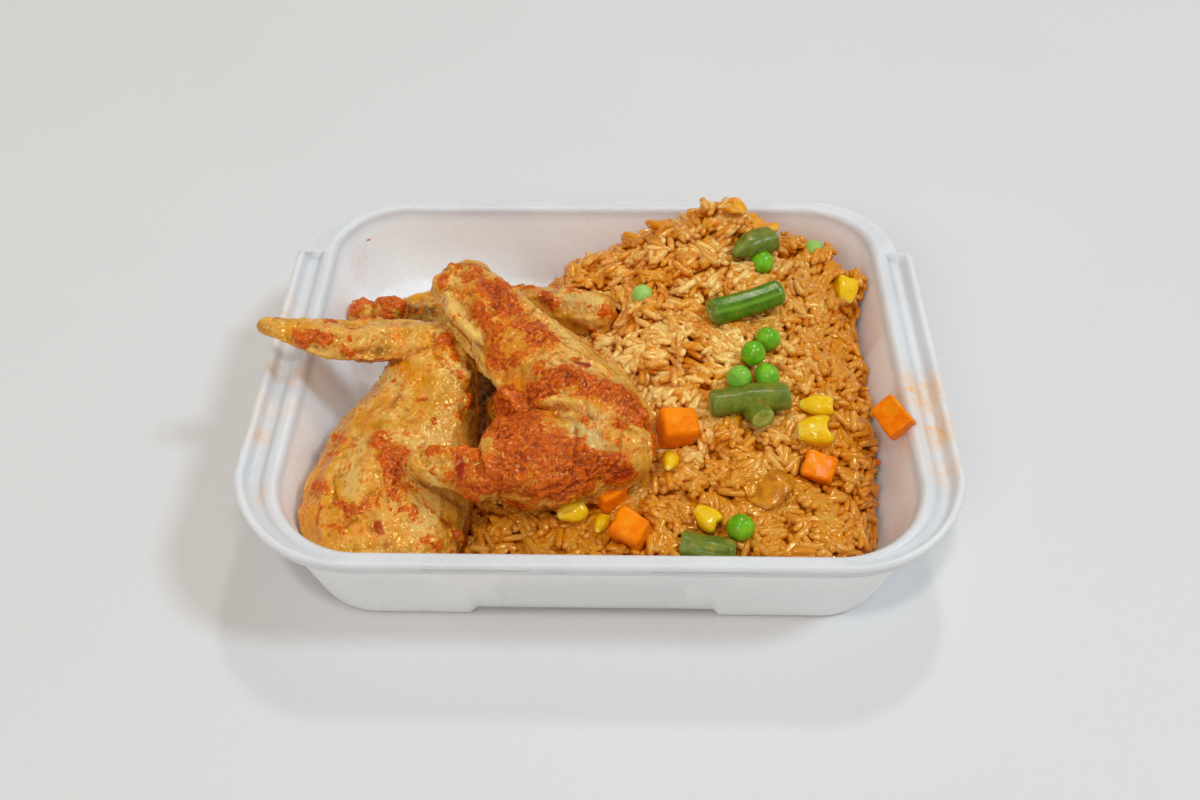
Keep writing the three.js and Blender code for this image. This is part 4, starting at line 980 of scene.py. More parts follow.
# where each vegetable lies on the heap, and its own sizes, all in millimetres
vegetables = {
    # x, y, lift over the heap, then turns about z, y and x in degrees
    "pea": {
        # radius, dents, wrinkles, paleness
        "pea_1": ((57.4, 37.9, 2, 20, 0, 0), (4.4, 0.35, 0.15, 0.0)),
        "pea_2": ((57.4, 4.3, 3, 120, 10, 0), (4.4, 0.95, 0.2, 0.05)),
        "pea_3": ((51.3, -5.4, 4.4, 210, 0, 20), (4.4, 0.3, 0.1, 0.0)),
        "pea_4": ((46.4, -13.2, 3.4, 300, 15, 0), (4.4, 0.55, 0.75, 0.3)),
        "pea_5": ((55.9, -11.8, 3.2, 40, 0, 10), (4.4, 0.45, 0.2, 0.05)),
        "pea_6": ((44.4, -66.6, 2.7, 90, 0, 0), (4.4, 0.2, 0.1, 0.0)),
        "pea_7": ((14.7, 29.4, -1.6, 10, 0, 0), (4.27, 0.3, 0.3, 0.9)),
        "pea_8": ((79, 56, -1.8, 70, 0, 0), (4.18, 0.3, 0.2, 0.65)),
    },
    "corn": {
        # length, width, depth, blockiness, bite, shrivelled skin, pale streak
        "corn_1": ((90, 41, 4.2, 80, -20, 25), (10, 8.6, 7, 2.2, 0.2, 0.2, 0.1)),
        "corn_2": ((72.5, -20, 3.2, -6, 0, 25), (11.4, 7.6, 5.6, 0.5, 0.15, 0.15, 0.2)),
        "corn_3": ((70.7, -31, 2.6, 3, 0, 20), (11.6, 10, 7, 1.3, 1.0, 0.7, 0.7)),
        "corn_4": ((23.1, -42.4, 2, 78, 20, 20), (9.4, 5.6, 5.2, 0.2, 0.3, 0.2, 0.3)),
        "corn_5": ((-7.8, -60.8, 5.6, 24, 0, 24), (9.8, 8.4, 6.2, 0.3, 0.2, 0.6, 0.2)),
        "corn_6": ((1.4, -64, 1.2, 64, 0, 0), (7, 5, 4.6, 0.2, 0.2, 0.2, 0.1)),
        "corn_7": ((34.4, -63, 1.8, -40, 10, 20), (9.4, 7.6, 6, 0.6, 0.6, 0.4, 0.5)),
    },
    "carrot": {
        # length, width, height, rounding, narrow end
        "carrot_1": ((25.6, -31, 3.4, 12, 10, 10), (12.2, 11.4, 10, 1.7, 0.9)),
        "carrot_2": ((96.7, -25.4, 18, -66, 2, 38), (12.8, 8.8, 5, 0.9, 1.12)),
        "carrot_3": ((71.2, -42.8, 2.6, -22, 0, 24), (10.2, 9.0, 7, 1.2, 0.92)),
        "carrot_4": ((10.4, -68.0, 3.6, -32, 0, 16), (10.8, 10.2, 9.6, 1.8, 0.88)),
        "carrot_5": ((3.4, -54.2, 2.6, 40, 0, 0), (9.6, 8.6, 7, 1.4, 0.9)),
    },
    "bean": {
        # length, radius, bend, hollow end, freshness, and whether the far end is the bean's own tip
        "bean_1": ((53.8, 41.2, 3.2, 40, 8, 0), (19, 5.0, 1.2, False, 0.0, True)),
        "bean_2": ((50.4, 17.2, 3.4, 200, 4, 0), (27, 4.6, 0.8, True, 1.0)),
        "bean_3": ((49.4, -21.2, 4.4, 8, 0, 0), (27, 4.7, 1, False, 0.12)),
        "bean_4": ((51.6, -24.8, 4.2, -66, -16, 0), (10, 4.1, 0.2, False, 0.1)),
        "bean_5": ((34.2, -72.6, 1.4, 168, 0, 0), (17, 4.6, 0.8, True, 0.15)),
    },
    "scrap": {
        # length, width, height, phase
        "pepper_1": ((47.8, 55.2, 1.8, 70, 0, 0), (10.4, 9.2, 6.4, 0.4)),
        "pepper_2": ((57.8, 51.8, 2.8, -34, 12, 0), (12.6, 9, 5.6, 1.9)),
        "onion_1": ((55, -53, 1.2, 34, 0, 0), (17, 11, 4.4, 3.1)),
    },
}


def peaShape(seed, radius, dents, wrinkles, pale):
    mesh, way = roundBlank(5)
    co = way * radius * np.array([0.95, 1, 0.95])
    lift = -0.9 * dents * bell(np.arccos(np.clip(way @ np.array([0.3, -0.75, 0.59]), -1, 1)), 0.42)
    lift -= 0.5 * dents * bell(np.arccos(np.clip(way @ np.array([-0.7, -0.3, 0.64]), -1, 1)), 0.3)
    lift += 0.13 * softNoise(way, 0.9, seed, 2)
    lift -= 0.4 * wrinkles * np.abs(softNoise(way * [1, 1, 0.5], 0.42, seed + 3, 3))
    setCoordinates(mesh, co + way * lift[:, None])
    pale = pale + 0.25 * wrinkles * softNoise(way, 0.7, seed + 9, 2)
    setAttribute(mesh, "pale", np.clip(pale, 0, 1))
    return mesh


def cornShape(seed, length, width, depth, blocky, bite, shrivel, streak):
    mesh, way = roundBlank(5)
    power = 2.2 + 1.3 * blocky
    unit = way / (np.abs(way) ** power).sum(axis=1, keepdims=True) ** (1 / power)
    t = (unit[:, 0] + 1) / 2
    rootEnd = 0.5 + 0.22 * min(blocky, 1)
    narrow = rootEnd + (1 - rootEnd) * smoothstep(t, 0, 0.6)
    co = unit * np.array([0.53 * length, width / 2, depth / 2])
    co[:, 1:] *= narrow[:, None]
    across = np.hypot(unit[:, 1], unit[:, 2])
    co[:, 0] -= 0.12 * length * bell(across, 0.45) * smoothstep(t, 0.6, 0.95)
    co[:, 0] -= 0.2 * length * bite * bell(unit[:, 1] - 0.15, 0.5) * smoothstep(t, 0.75, 1.0)
    wrinkle = np.abs(softNoise(unit * [0.5, 1, 1], 0.5, seed, 3)) * shrivel * (0.4 + 0.6 * (1 - t))
    co += way * (0.12 * softNoise(unit, 0.8, seed + 4, 2) - 0.9 * wrinkle)[:, None]
    setCoordinates(mesh, co)
    pale = streak * bell(unit[:, 1], 0.28) * bell(t - 0.45, 0.34) + 1.2 * (1 - smoothstep(t, 0, 0.16))
    setAttribute(mesh, "pale", np.clip(pale, 0, 1))
    setAttribute(mesh, "deep", np.clip(smoothstep(t, 0.72, 1.0) * (0.4 + 0.6 * bite), 0, 1))
    return mesh


def carrotShape(seed, length, width, height, rounding, narrow):
    bm = bmesh.new()
    bmesh.ops.create_cube(bm, size=2)
    bmesh.ops.subdivide_edges(bm, edges=bm.edges, cuts=27, use_grid_fill=True)
    mesh = meshFrom(bm, "dice")
    u = coordinates(mesh)
    u = np.sign(u) * (1 - (1 - np.abs(u)) ** 1.5)
    half = np.array([length, width, height]) / 2
    inner = u * half
    core = np.clip(inner, -(half - rounding), half - rounding)
    away = inner - core
    reach = np.linalg.norm(away, axis=1, keepdims=True)
    co = core + np.where(reach > 1e-6, away / np.maximum(reach, 1e-6), 0) * rounding
    co[:, 1] *= 1 - (1 - narrow) * (co[:, 0] / length + 0.5)
    own = co + 50 * seed
    lift = 0.45 * softNoise(own, 6.0, seed, 2) + 0.05 * softNoise(own, 1.1, seed + 2, 2)
    co += lift[:, None] * u / np.linalg.norm(u, axis=1, keepdims=True)
    co[:, 2] += 0.35 * np.sin(co[:, 0] / 5 + seed) * (height / 10)
    setAttribute(mesh, "ring", np.hypot(co[:, 1] - 0.2 * width, co[:, 0] + 0.15 * length))
    setCoordinates(mesh, co)
    return mesh


def beanShape(seed, length, radius, bend, hollow, fresh, tip=False):
    sides, rings, cut, painted_highlight = 56, [], [], []
    turn = np.linspace(0, 2 * math.pi, sides, endpoint=False)

    def ring(x, share, isCut, soft=0.0):
        rib = 1 + 0.05 * np.cos(2 * turn) * (1 - soft)
        ridges = fresh * 0.02 * np.cos(6 * turn + 0.6) + 0.02 * np.cos(5 * turn + seed)
        seam = -0.1 * bell((turn - 0.95 + math.pi) % (2 * math.pi) - math.pi, 0.16)
        r = radius * share * (rib + (ridges + seam) * (1 - soft))
        across = np.cos(turn) * r * 1.06 + bend * (1 - (2 * x / length) ** 2)
        rings.append(np.stack([x + 0 * turn, across, np.sin(turn) * r * 0.92], axis=1))
        cut.append(np.full(sides, isCut))
        # a painted highlight: a lighter band along one side of the skin
        painted_highlight.append(bell((turn - 0.8 + math.pi) % (2 * math.pi) - math.pi, 0.2))

    low, high = -length / 2, length / 2
    # a cut far end is flat, and a bean's own tip draws in
    if tip:
        for share, back in ((0.1, 0.0), (0.2, 0.3), (0.3, 0.9), (0.38, 1.6), (0.45, 2.5), (0.51, 3.4)):
            ring(low + back, share, 0.0, 0.3)
    else:
        for share, back in ((0.215, 0.0), (0.43, 0.05), (0.602, 0.12)):
            ring(low + back, share, 1.0, 0.5)
        for share, back in ((0.7052, 0.3), (0.837, 0.7), (0.8835, 1.3)):
            ring(low + back, share, 0.0, 0.5)
    start = 4.2 if tip else 1.9
    for k in range(40):
        x = low + start + (length - start - 0.9) * k / 39
        t = (x - low) / length
        body = 1 - 0.08 * abs(t - 0.5) + 0.03 * math.sin(7 * t + seed)
        ring(x, body * (smoothstep(t, -0.25, 0.62) if tip else 1), 0.0)
    ring(high - 0.5, 0.93, 0.0)
    ring(high - 0.15, 0.88, 0.5, 0.3)
    ring(high, 0.82, 1.0, 0.5)
    if hollow:
        for share, back in ((0.74, 0.0), (0.68, 0.1)):
            ring(high - back, share, 1.0, 0.7)
        for share, back in ((0.62, 0.5), (0.58, 1.2), (0.5, 2.1), (0.4, 2.35), (0.2, 2.3)):
            ring(high - back, share, 0.75, 0.7)
    else:
        for share, out in ((0.7, 0.06), (0.55, 0.1), (0.4, 0.05), (0.2, -0.05)):
            ring(high + out, share, 1.0, 0.7)
    mesh = meshFrom(skinRings(rings), "bean")
    co = coordinates(mesh)
    # the skin's attributes are found again from the nearest ring point
    allPoints = np.concatenate(rings)
    order = [int(np.argmin(((allPoints - c) ** 2).sum(axis=1))) for c in co]
    setAttribute(mesh, "cut", np.concatenate(cut)[order])
    setAttribute(mesh, "painted_highlight", np.concatenate(painted_highlight)[order])
    setAttribute(mesh, "fresh", np.full(len(co), fresh))
    setAttribute(mesh, "ends", smoothstep(np.abs(co[:, 0]) / (length / 2), 0.62, 1.0))
    # an old bean is shrivelled
    wrinkle = np.abs(softNoise(co * [0.4, 1, 1] + 30 * seed, 2.2, seed + 2, 2))
    lift = 0.12 * softNoise(co + 30 * seed, 5.0, seed, 3) - (1 - fresh) * 0.3 * wrinkle
    setCoordinates(mesh, co + normalsOf(mesh) * lift[:, None])
    return mesh


def scrapShape(seed, length, width, height, phase):
    mesh, way = roundBlank(5)
    co = way * np.array([0.48 * length, width / 2, height / 2])
    edge = 1 + 0.09 * np.sin(2 * np.arctan2(way[:, 1], way[:, 0]) + phase)
    edge += 0.14 * softNoise(way, 0.9, seed, 3)
    co[:, :2] *= edge[:, None]
    co[:, 2] *= 0.62 + 0.25 * softNoise(way, 1.1, seed + 3, 2)
    t = co[:, 0] / length
    ridges = np.abs(softNoise(co, 3.4, seed + 6, 2))
    co[:, 2] += 0.32 * height * np.cos((t + 0.42) * 5 + phase) + 0.25 * ridges * height / 4
    co[:, 1] += 0.1 * width * np.sin((t + 0.42) * 7 + phase)
    setCoordinates(mesh, co)
    return mesh


def layOnHeap(mesh, spot):
    x, y, lift, turn, tiltY, tiltX = spot
    at = Vector((x, y, float(heapHeight(x, y)) + lift)) * mm
    turned = Matrix.Rotation(math.radians(turn), 4, "Z") @ Matrix.Rotation(math.radians(tiltY), 4, "Y")
    turned = turned @ Matrix.Rotation(math.radians(tiltX), 4, "X")
    mesh.transform(Matrix.Translation(at) @ turned @ Matrix.Scale(mm, 4))


# thin orange oil and specks of spice that cling to everything on the rice
def oiled(tree, place, tone, amount):
    film = ranged(tree, noiseNode(tree, place, 260.0, 4.0, 0.6), 0.52, 0.7, 0.0, amount)
    tone = mixed(tree, film, tone, (0.75, 0.25, 0.015))
    specks = ranged(tree, cellNode(tree, place, 420.0), 0.1, 0.06, 0.0, amount)
    return mixed(tree, specks, tone, (0.35, 0.03, 0.005))


peaSkin, tree, shader, place = foodSkin("pea", 0.25, 0.2, 0.002, (0.3, 1.0, 0.15), (0.85, 1.0, 0.6))
blotch = noiseNode(tree, place, 300.0, 4.0, 0.6)
tone = mixed(tree, ranged(tree, blotch, 0.3, 0.7), (0.095, 0.34, 0.002), (0.19, 0.52, 0.006))
tone = mixed(tree, attributeNode(tree, "pale"), tone, (0.36, 0.6, 0.13))
connect(tree, shader, Base_Color=oiled(tree, place, tone, 0.25))
connect(tree, shader, Roughness=ranged(tree, blotch, 0.3, 0.7, 0.2, 0.38))
connect(tree, shader, Normal=bumped(tree, noiseNode(tree, place, 700.0, 3.0), 0.22, 0.0005))
oilFilm(shader, 0.45, 0.08)

cornSkin, tree, shader, place = foodSkin("corn", 0.25, 0.25, 0.002, (1.0, 0.7, 0.1), (1.0, 0.8, 0.2))
blotch = noiseNode(tree, place, 260.0, 4.0, 0.6)
tone = mixed(tree, ranged(tree, blotch, 0.3, 0.7), (0.78, 0.41, 0.0), (0.88, 0.56, 0.004))
deep = sums(tree, "MULTIPLY", attributeNode(tree, "deep"), 0.7)
tone = mixed(tree, deep, tone, (0.72, 0.52, 0.01))
pale = sums(tree, "MULTIPLY", attributeNode(tree, "pale"), 0.75)
tone = mixed(tree, pale, tone, (0.88, 0.68, 0.1))
connect(tree, shader, Base_Color=oiled(tree, place, tone, 0.3))
connect(tree, shader, Roughness=ranged(tree, blotch, 0.3, 0.7, 0.2, 0.4))
connect(tree, shader, Normal=bumped(tree, noiseNode(tree, place, 520.0, 4.0), 0.3, 0.0006))
oilFilm(shader, 0.3, 0.08)

carrotLook = (0.35, 0.25, 0.002, (1.0, 0.35, 0.05), (1.0, 0.5, 0.05))
carrotSkin, tree, shader, place = foodSkin("carrot", *carrotLook)
blotch = noiseNode(tree, place, 420.0, 5.0, 0.65)
tone = mixed(tree, ranged(tree, blotch, 0.3, 0.7), (0.86, 0.16, 0.0), (0.95, 0.26, 0.001))
heart = ranged(tree, attributeNode(tree, "ring"), 2.6, 3.6, 0.55, 0.0)
tone = mixed(tree, heart, tone, (0.95, 0.31, 0.004))
connect(tree, shader, Base_Color=oiled(tree, place, tone, 0.25))
connect(tree, shader, Roughness=ranged(tree, blotch, 0.3, 0.7, 0.26, 0.5))
relief = bumped(tree, noiseNode(tree, place, 1300.0, 3.0), 0.3, 0.0004)
connect(tree, shader, Normal=bumped(tree, blotch, 0.3, 0.0006, relief))
oilFilm(shader, 0.16, 0.2)

beanSkin, tree, shader, place = foodSkin("bean", 0.38, 0.12, 0.002, (0.4, 1.0, 0.2), (0.85, 1.0, 0.55))
blotch = noiseNode(tree, place, 240.0, 4.0, 0.6)
dull = mixed(tree, ranged(tree, blotch, 0.3, 0.7), (0.1, 0.135, 0.008), (0.19, 0.21, 0.02))
bright = mixed(tree, ranged(tree, blotch, 0.3, 0.7), (0.04, 0.13, 0.001), (0.1, 0.22, 0.003))
# painted highlight: fresh beans are lighter along one side
painted_highlight = ranged(tree, attributeNode(tree, "painted_highlight"), 0.2, 1.0, 0.0, 0.5)
bright = mixed(tree, painted_highlight, bright, (0.2, 0.36, 0.03))
fresh = attributeNode(tree, "fresh")
tone = mixed(tree, fresh, dull, bright)
ends = ranged(tree, attributeNode(tree, "ends"), 0.3, 1.0, 0.0, 0.35)
tone = mixed(tree, ends, tone, (0.22, 0.22, 0.03))
flesh = mixed(tree, ranged(tree, blotch, 0.35, 0.65), (0.22, 0.28, 0.03), (0.36, 0.42, 0.08))
tone = mixed(tree, attributeNode(tree, "cut"), tone, flesh)
connect(tree, shader, Base_Color=oiled(tree, place, tone, 0.22))
connect(tree, shader, Roughness=ranged(tree, fresh, 0.0, 1.0, 0.45, 0.24))
relief = bumped(tree, noiseNode(tree, place, 900.0, 3.0), 0.25, 0.0005)
connect(tree, shader, Normal=bumped(tree, blotch, 0.3, 0.0008, relief))
oilFilm(shader, 0.28, 0.22)

pepperSkin, tree, shader, place = foodSkin("pepper", 0.28, 0.3, 0.003, (1.0, 0.5, 0.1))
blotch = noiseNode(tree, place, 300.0, 4.0, 0.6)
tone = mixed(tree, ranged(tree, blotch, 0.35, 0.65), (0.74, 0.27, 0.006), (0.84, 0.42, 0.03))
connect(tree, shader, Base_Color=oiled(tree, place, tone, 0.4))
connect(tree, shader, Normal=bumped(tree, blotch, 0.4, 0.001))
oilFilm(shader, 0.3, 0.08)

onionSkin, tree, shader, place = foodSkin("onion", 0.25, 0.4, 0.003, (1.0, 0.6, 0.2))
blotch = noiseNode(tree, place, 260.0, 5.0, 0.6)
tone = mixed(tree, ranged(tree, blotch, 0.35, 0.65), (0.46, 0.14, 0.002), (0.68, 0.27, 0.008))
connect(tree, shader, Base_Color=oiled(tree, place, tone, 0.4))
connect(tree, shader, Normal=bumped(tree, blotch, 0.4, 0.001))
oilFilm(shader, 0.25, 0.12)

vegetableShapes = {
    "pea": peaShape,
    "corn": cornShape,
    "carrot": carrotShape,
    "bean": beanShape,
    "scrap": scrapShape,
}
vegetableSkins = {
    "pea": peaSkin,
    "corn": cornSkin,
    "carrot": carrotSkin,
    "bean": beanSkin,
    "pepper": pepperSkin,
    "onion": onionSkin,
}
vegetableFaces = 0
for kind, rows in vegetables.items():
    for seed, (name, (spot, sizes)) in enumerate(rows.items()):
        mesh = vegetableShapes[kind](seed + 1, *sizes)
        layOnHeap(mesh, spot)
        food = name.split("_")[0]
        shownObject(name + "_food", mesh, vegetableSkins[food], [name])
        vegetableFaces += len(mesh.polygons)
print("vegetables:", vegetableFaces, "faces")


# rice: a core a little inside the heap, then single grains dropped on it until the heap is full
rice = {
    "coreVoxel": 0.9,
    "coreDepth": 1.9,
    "cell": 0.5,
    "lowest": 6,  # the heap ends where it would be lower than this
    "deepest": 7.5,  # nothing is filled up where more than this is missing
    "fill": 2.5,  # more than this missing doesn't draw more grains
    "bareFill": 0.8,  # extra weight of cells that show the core
    "besideVegetables": 0.7,  # how much lower the heap is there
    "flow": 0.6,  # share of grains that lie as their neighbours do
    "flowSpread": 0.35,
    "tiltSpread": {"lying": 0.16, "steep": 0.55},
    "mostTilt": 1.15,
    "standsOut": (1.0, 2.2),  # how far a grain's upper end may pass the heap's surface
    "bed": 1.15,  # how far a grain beds into what it lies on
    "tooHigh": 1.7,  # a grain that would have to be pressed in farther is left out
    "clear": 0.3,  # share of a grain's radius kept from wings and vegetables
    # bend and taper of the grains
    "forms": ((0, 0.04), (0.3, 0.07), (-0.3, 0.03), (0.5, -0.06), (0.15, 0.1)),
}
riceKinds = {
    "grains": {
        "length": (6.8, 9.9),
        "width": (2.3, 3.05),
        "short": 0.5,  # how far short of the heap's surface a place has to be
        "most": 4500,
        "tries": 22000,
        "steep": 0.14,  # share that stands steep
    },
    "bits": {
        "length": (3.2, 5.4),
        "width": (2.0, 2.6),
        "short": 0.9,
        "most": 1100,
        "tries": 4000,
        "steep": 0.5,
    },
}
# no grains in the gap between two wings: x, y, half sizes
riceGap = (-42, -12, 14, 34)
# where the heap stands higher than its smooth form: x, y, radius, height
riceHumps = (
    (14.5, 23.5, 5, 2.4),
    (79, 50, 6, 2.6),
    (84, 54, 5, 2.0),
    (97, 44, 5, 2.5),
    (36, 62, 5, 2.5),
    (22, 58, 6, 2.0),
    (88, -25, 5, 5.0),
    (90, -33, 4, 3.0),
)
# these lie in the rice, and grains may lie on them
sunkFood = ("pea_7", "pea_8")


def riceCore():
    mesh = remeshedCopy("rice", rice["coreVoxel"], 6)
    co, normal = coordinates(mesh) / mm, normalsOf(mesh)
    depth = rice["coreDepth"] + 0.6 * softNoise(co, 7.0, 2, 2) - 1.0 * (1 - lumpNoise(co, 2.6, 4))
    moved = co - normal * depth[:, None]
    moved[:, 2] = np.maximum(moved[:, 2], floorTop)
    setCoordinates(mesh, moved * mm)
    return mesh


coreSkin, tree, shader, place = foodSkin("riceCore", 0.26, 0.1, 0.002, (1.0, 0.5, 0.1))
blotch = noiseNode(tree, place, 420.0, 4.0, 0.6)
tone = mixed(tree, ranged(tree, blotch, 0.35, 0.65), (0.6, 0.15, 0.001), (0.84, 0.3, 0.003))
connect(tree, shader, Base_Color=tone)
connect(tree, shader, Normal=bumped(tree, cellNode(tree, place, 340.0, "SMOOTH_F1"), 1.0, 0.003))
oilFilm(shader, 0.1, 0.12)
riceBed = shownObject("rice_core", riceCore(), coreSkin, ["rice"])
print("rice core:", len(riceBed.data.polygons), "faces")


# a search tree over the faces of some objects
def treeOf(objects):
    points, faces = [], []
    for thing in objects:
        base = len(points)
        points += [tuple(v.co) for v in thing.data.vertices]
        faces += [tuple(base + i for i in p.vertices) for p in thing.data.polygons]
    return BVHTree.FromPolygons(points, faces)


# the height of the top at every place of a grid, 0 where nothing is
def topGrid(tree, xs, ys):
    grid = np.zeros((len(xs), len(ys)))
    down = Vector((0, 0, -1))
    for i, x in enumerate(xs):
        for j, y in enumerate(ys):
            hit = tree.ray_cast(Vector((x * mm, y * mm, 0.12)), down)[0]
            grid[i, j] = 0 if hit is None else hit.z / mm
    return grid


# the heap as two height fields: what lies there so far, and what it is filled up to
riceX, riceY = np.arange(-62, 108, rice["cell"]), np.arange(-86, 86, rice["cell"])
gridX, gridY = np.meshgrid(riceX, riceY, indexing="ij")
riceNow = topGrid(treeOf([riceBed]), riceX, riceY)
riceGoal = topGrid(treeOf([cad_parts["rice"]]), riceX, riceY)
flat = np.stack([gridX.ravel(), gridY.ravel(), 0 * gridX.ravel()], axis=1)
lumps = (2.4 * softNoise(flat, 15.0, 5, 2) + 1.4 * softNoise(flat, 6.5, 6, 1)).reshape(gridX.shape)
for x, y, radius, height in riceHumps:
    lumps = lumps + height * bell(np.hypot(gridX - x, gridY - y), radius)
for rows in vegetables.values():
    for name, (spot, _) in rows.items():
        if name not in sunkFood:
            beside = bell(np.hypot(gridX - spot[0], gridY - spot[1]), 5.5)
            lumps = lumps - rice["besideVegetables"] * beside
riceGoal = np.where(riceGoal > rice["lowest"], riceGoal + lumps, 0)
inGap = (np.abs(gridX - riceGap[0]) < riceGap[2]) & (np.abs(gridY - riceGap[1]) < riceGap[3])
gapEdge = riceGap[0] + riceGap[2] - 0.25 * np.abs(gridY - riceGap[1])
riceGoal[inGap & (gridX < gapEdge)] = 0
riceBare = (riceGoal > rice["lowest"]) & (riceGoal - riceNow < rice["deepest"])
grainWay = 1.6 * softNoise(flat, 22.0, 8, 2).reshape(gridX.shape) * math.pi
underGrains = ("rice", "foam", "onion", "pepper", *sunkFood)
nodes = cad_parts.items()
blocked = treeOf([thing for name, thing in nodes if not name.startswith(underGrains)])


# whether a grain stays off the box's walls, the wings and the firm vegetables
def isClear(centre, axis, half, wide):
    for t in (-0.85, -0.45, 0, 0.45, 0.85):
        p = centre + axis * half * t
        if insideWall(p[0], p[1], p[2]) < wide * 0.9:
            return False
        spot, outward, _, distance = blocked.find_nearest(Vector(p) * mm, 0.006)
        if spot is None:
            continue
        if distance < wide * rice["clear"] * mm or (Vector(p) * mm - spot).dot(outward) < 0:
            return False
    return True


# how much is missing in each cell, summed up from cell to cell
def missingRice(short, blind):
    gap = riceGoal - riceNow - short
    full = blind | (riceGoal < rice["lowest"]) | (gap > rice["deepest"])
    gap = np.where(full, 0, np.clip(gap, 0, rice["fill"]))
    return np.cumsum((gap + rice["bareFill"] * (riceBare & ~blind)).ravel())


# single grains, each dropped where much is missing, turned and tilted, and let down on what is there
def dropGrains(seed, length, width, short, most, tries, steep):
    draw = np.random.default_rng(seed)
    reach = int(length[1] / rice["cell"] * 0.6)
    blind = np.zeros(riceNow.shape, bool)
    grains = []
    for attempt in range(tries):
        if attempt % 50 == 0:
            missing = missingRice(short, blind)
            if missing[-1] < 20 or len(grains) >= most:
                break
        i, j = divmod(int(np.searchsorted(missing, draw.random() * missing[-1])), len(riceY))
        if not (reach < i < len(riceX) - reach and reach < j < len(riceY) - reach):
            blind[i, j] = True
            continue
        half, wide = 0.5 * draw.uniform(*length), 0.5 * draw.uniform(*width)
        deep = wide * draw.uniform(0.78, 0.95)
        along = draw.random() < rice["flow"]
        if along:
            heading = grainWay[i, j] + draw.normal(0, rice["flowSpread"])
        else:
            heading = draw.uniform(0, math.pi)
        c, s = math.cos(heading), math.sin(heading)
        px, py = riceX[i] + draw.uniform(-0.4, 0.4), riceY[j] + draw.uniform(-0.4, 0.4)
        near = (slice(i - reach, i + reach + 1), slice(j - reach, j + reach + 1))
        ground = riceNow[near]
        lx = (gridX[near] - px) * c + (gridY[near] - py) * s
        ly = (gridY[near] - py) * c - (gridX[near] - px) * s
        # it lies along the slope of what is under it, or stands up steeply
        under = (np.abs(lx) < half) & (np.abs(ly) < wide)
        slope = np.sum((ground[under] - ground[under].mean()) * lx[under]) / np.sum(lx[under] ** 2)
        spread = rice["tiltSpread"]["steep" if draw.random() < steep else "lying"]
        pitch = math.atan(slope) * 0.85 + draw.normal(0, spread)
        pitch = float(np.clip(pitch, -rice["mostTilt"], rice["mostTilt"]))
        # its upper and lower side over the cells that it covers, from its own middle
        climb = half * abs(math.sin(pitch))
        q = 1 - (np.abs(lx) / max(half * math.cos(pitch), wide)) ** 3 - (ly / wide) ** 2
        under = q > 0
        bulge = deep * np.sqrt(np.clip(q, 0, 1))
        rise = np.clip(lx * math.tan(pitch), -climb, climb)
        rest = (ground + bulge - rise)[under]
        z = min(rest.max() - rice["bed"], np.percentile(rest, 72) + 0.3)
        over = z + 0.6 * climb + deep - riceGoal[i, j] - draw.uniform(*rice["standsOut"])
        z -= max(over, 0)
        axis = np.array([c * math.cos(pitch), s * math.cos(pitch), math.sin(pitch)])
        centre = np.array([px, py, z])
        if over > rice["tooHigh"] or not isClear(centre, axis, half, wide):
            blind[i - 1 : i + 2, j - 1 : j + 2] = True
            continue
        top = z + rise + bulge
        riceNow[near] = np.where(under, np.maximum(ground, top), ground)
        riceBare[near] &= ~(under & (top > ground))
        grains.append((centre, heading, pitch, half, wide, deep))
    return grains


# a grain from -1 to 1 along x, one unit thick to each side
def grainBlank(sides, rings, bend, taper):
    bm = bmesh.new()
    bmesh.ops.create_uvsphere(bm, u_segments=sides, v_segments=rings, radius=1)
    bmesh.ops.rotate(bm, cent=(0, 0, 0), matrix=Matrix.Rotation(math.pi / 2, 3, "Y"), verts=bm.verts)
    mesh = meshFrom(bm, "grain")
    co = coordinates(mesh)
    # blunt ends: the rings go out along the grain and stay wide
    along = np.sign(co[:, 0]) * np.clip(np.abs(co[:, 0]), 0, 1) ** 0.72
    wide = np.clip(1 - np.abs(along) ** 5.5, 0, 1) ** 0.5
    across = np.linalg.norm(co[:, 1:], axis=1)
    scale = np.where(across > 1e-6, wide / np.maximum(across, 1e-6), 0) * (1 - taper * along)
    co = np.stack([along, co[:, 1] * scale, co[:, 2] * scale + bend * (0.4 - along**2)], axis=1)
    return co, [tuple(p.vertices) for p in mesh.polygons]


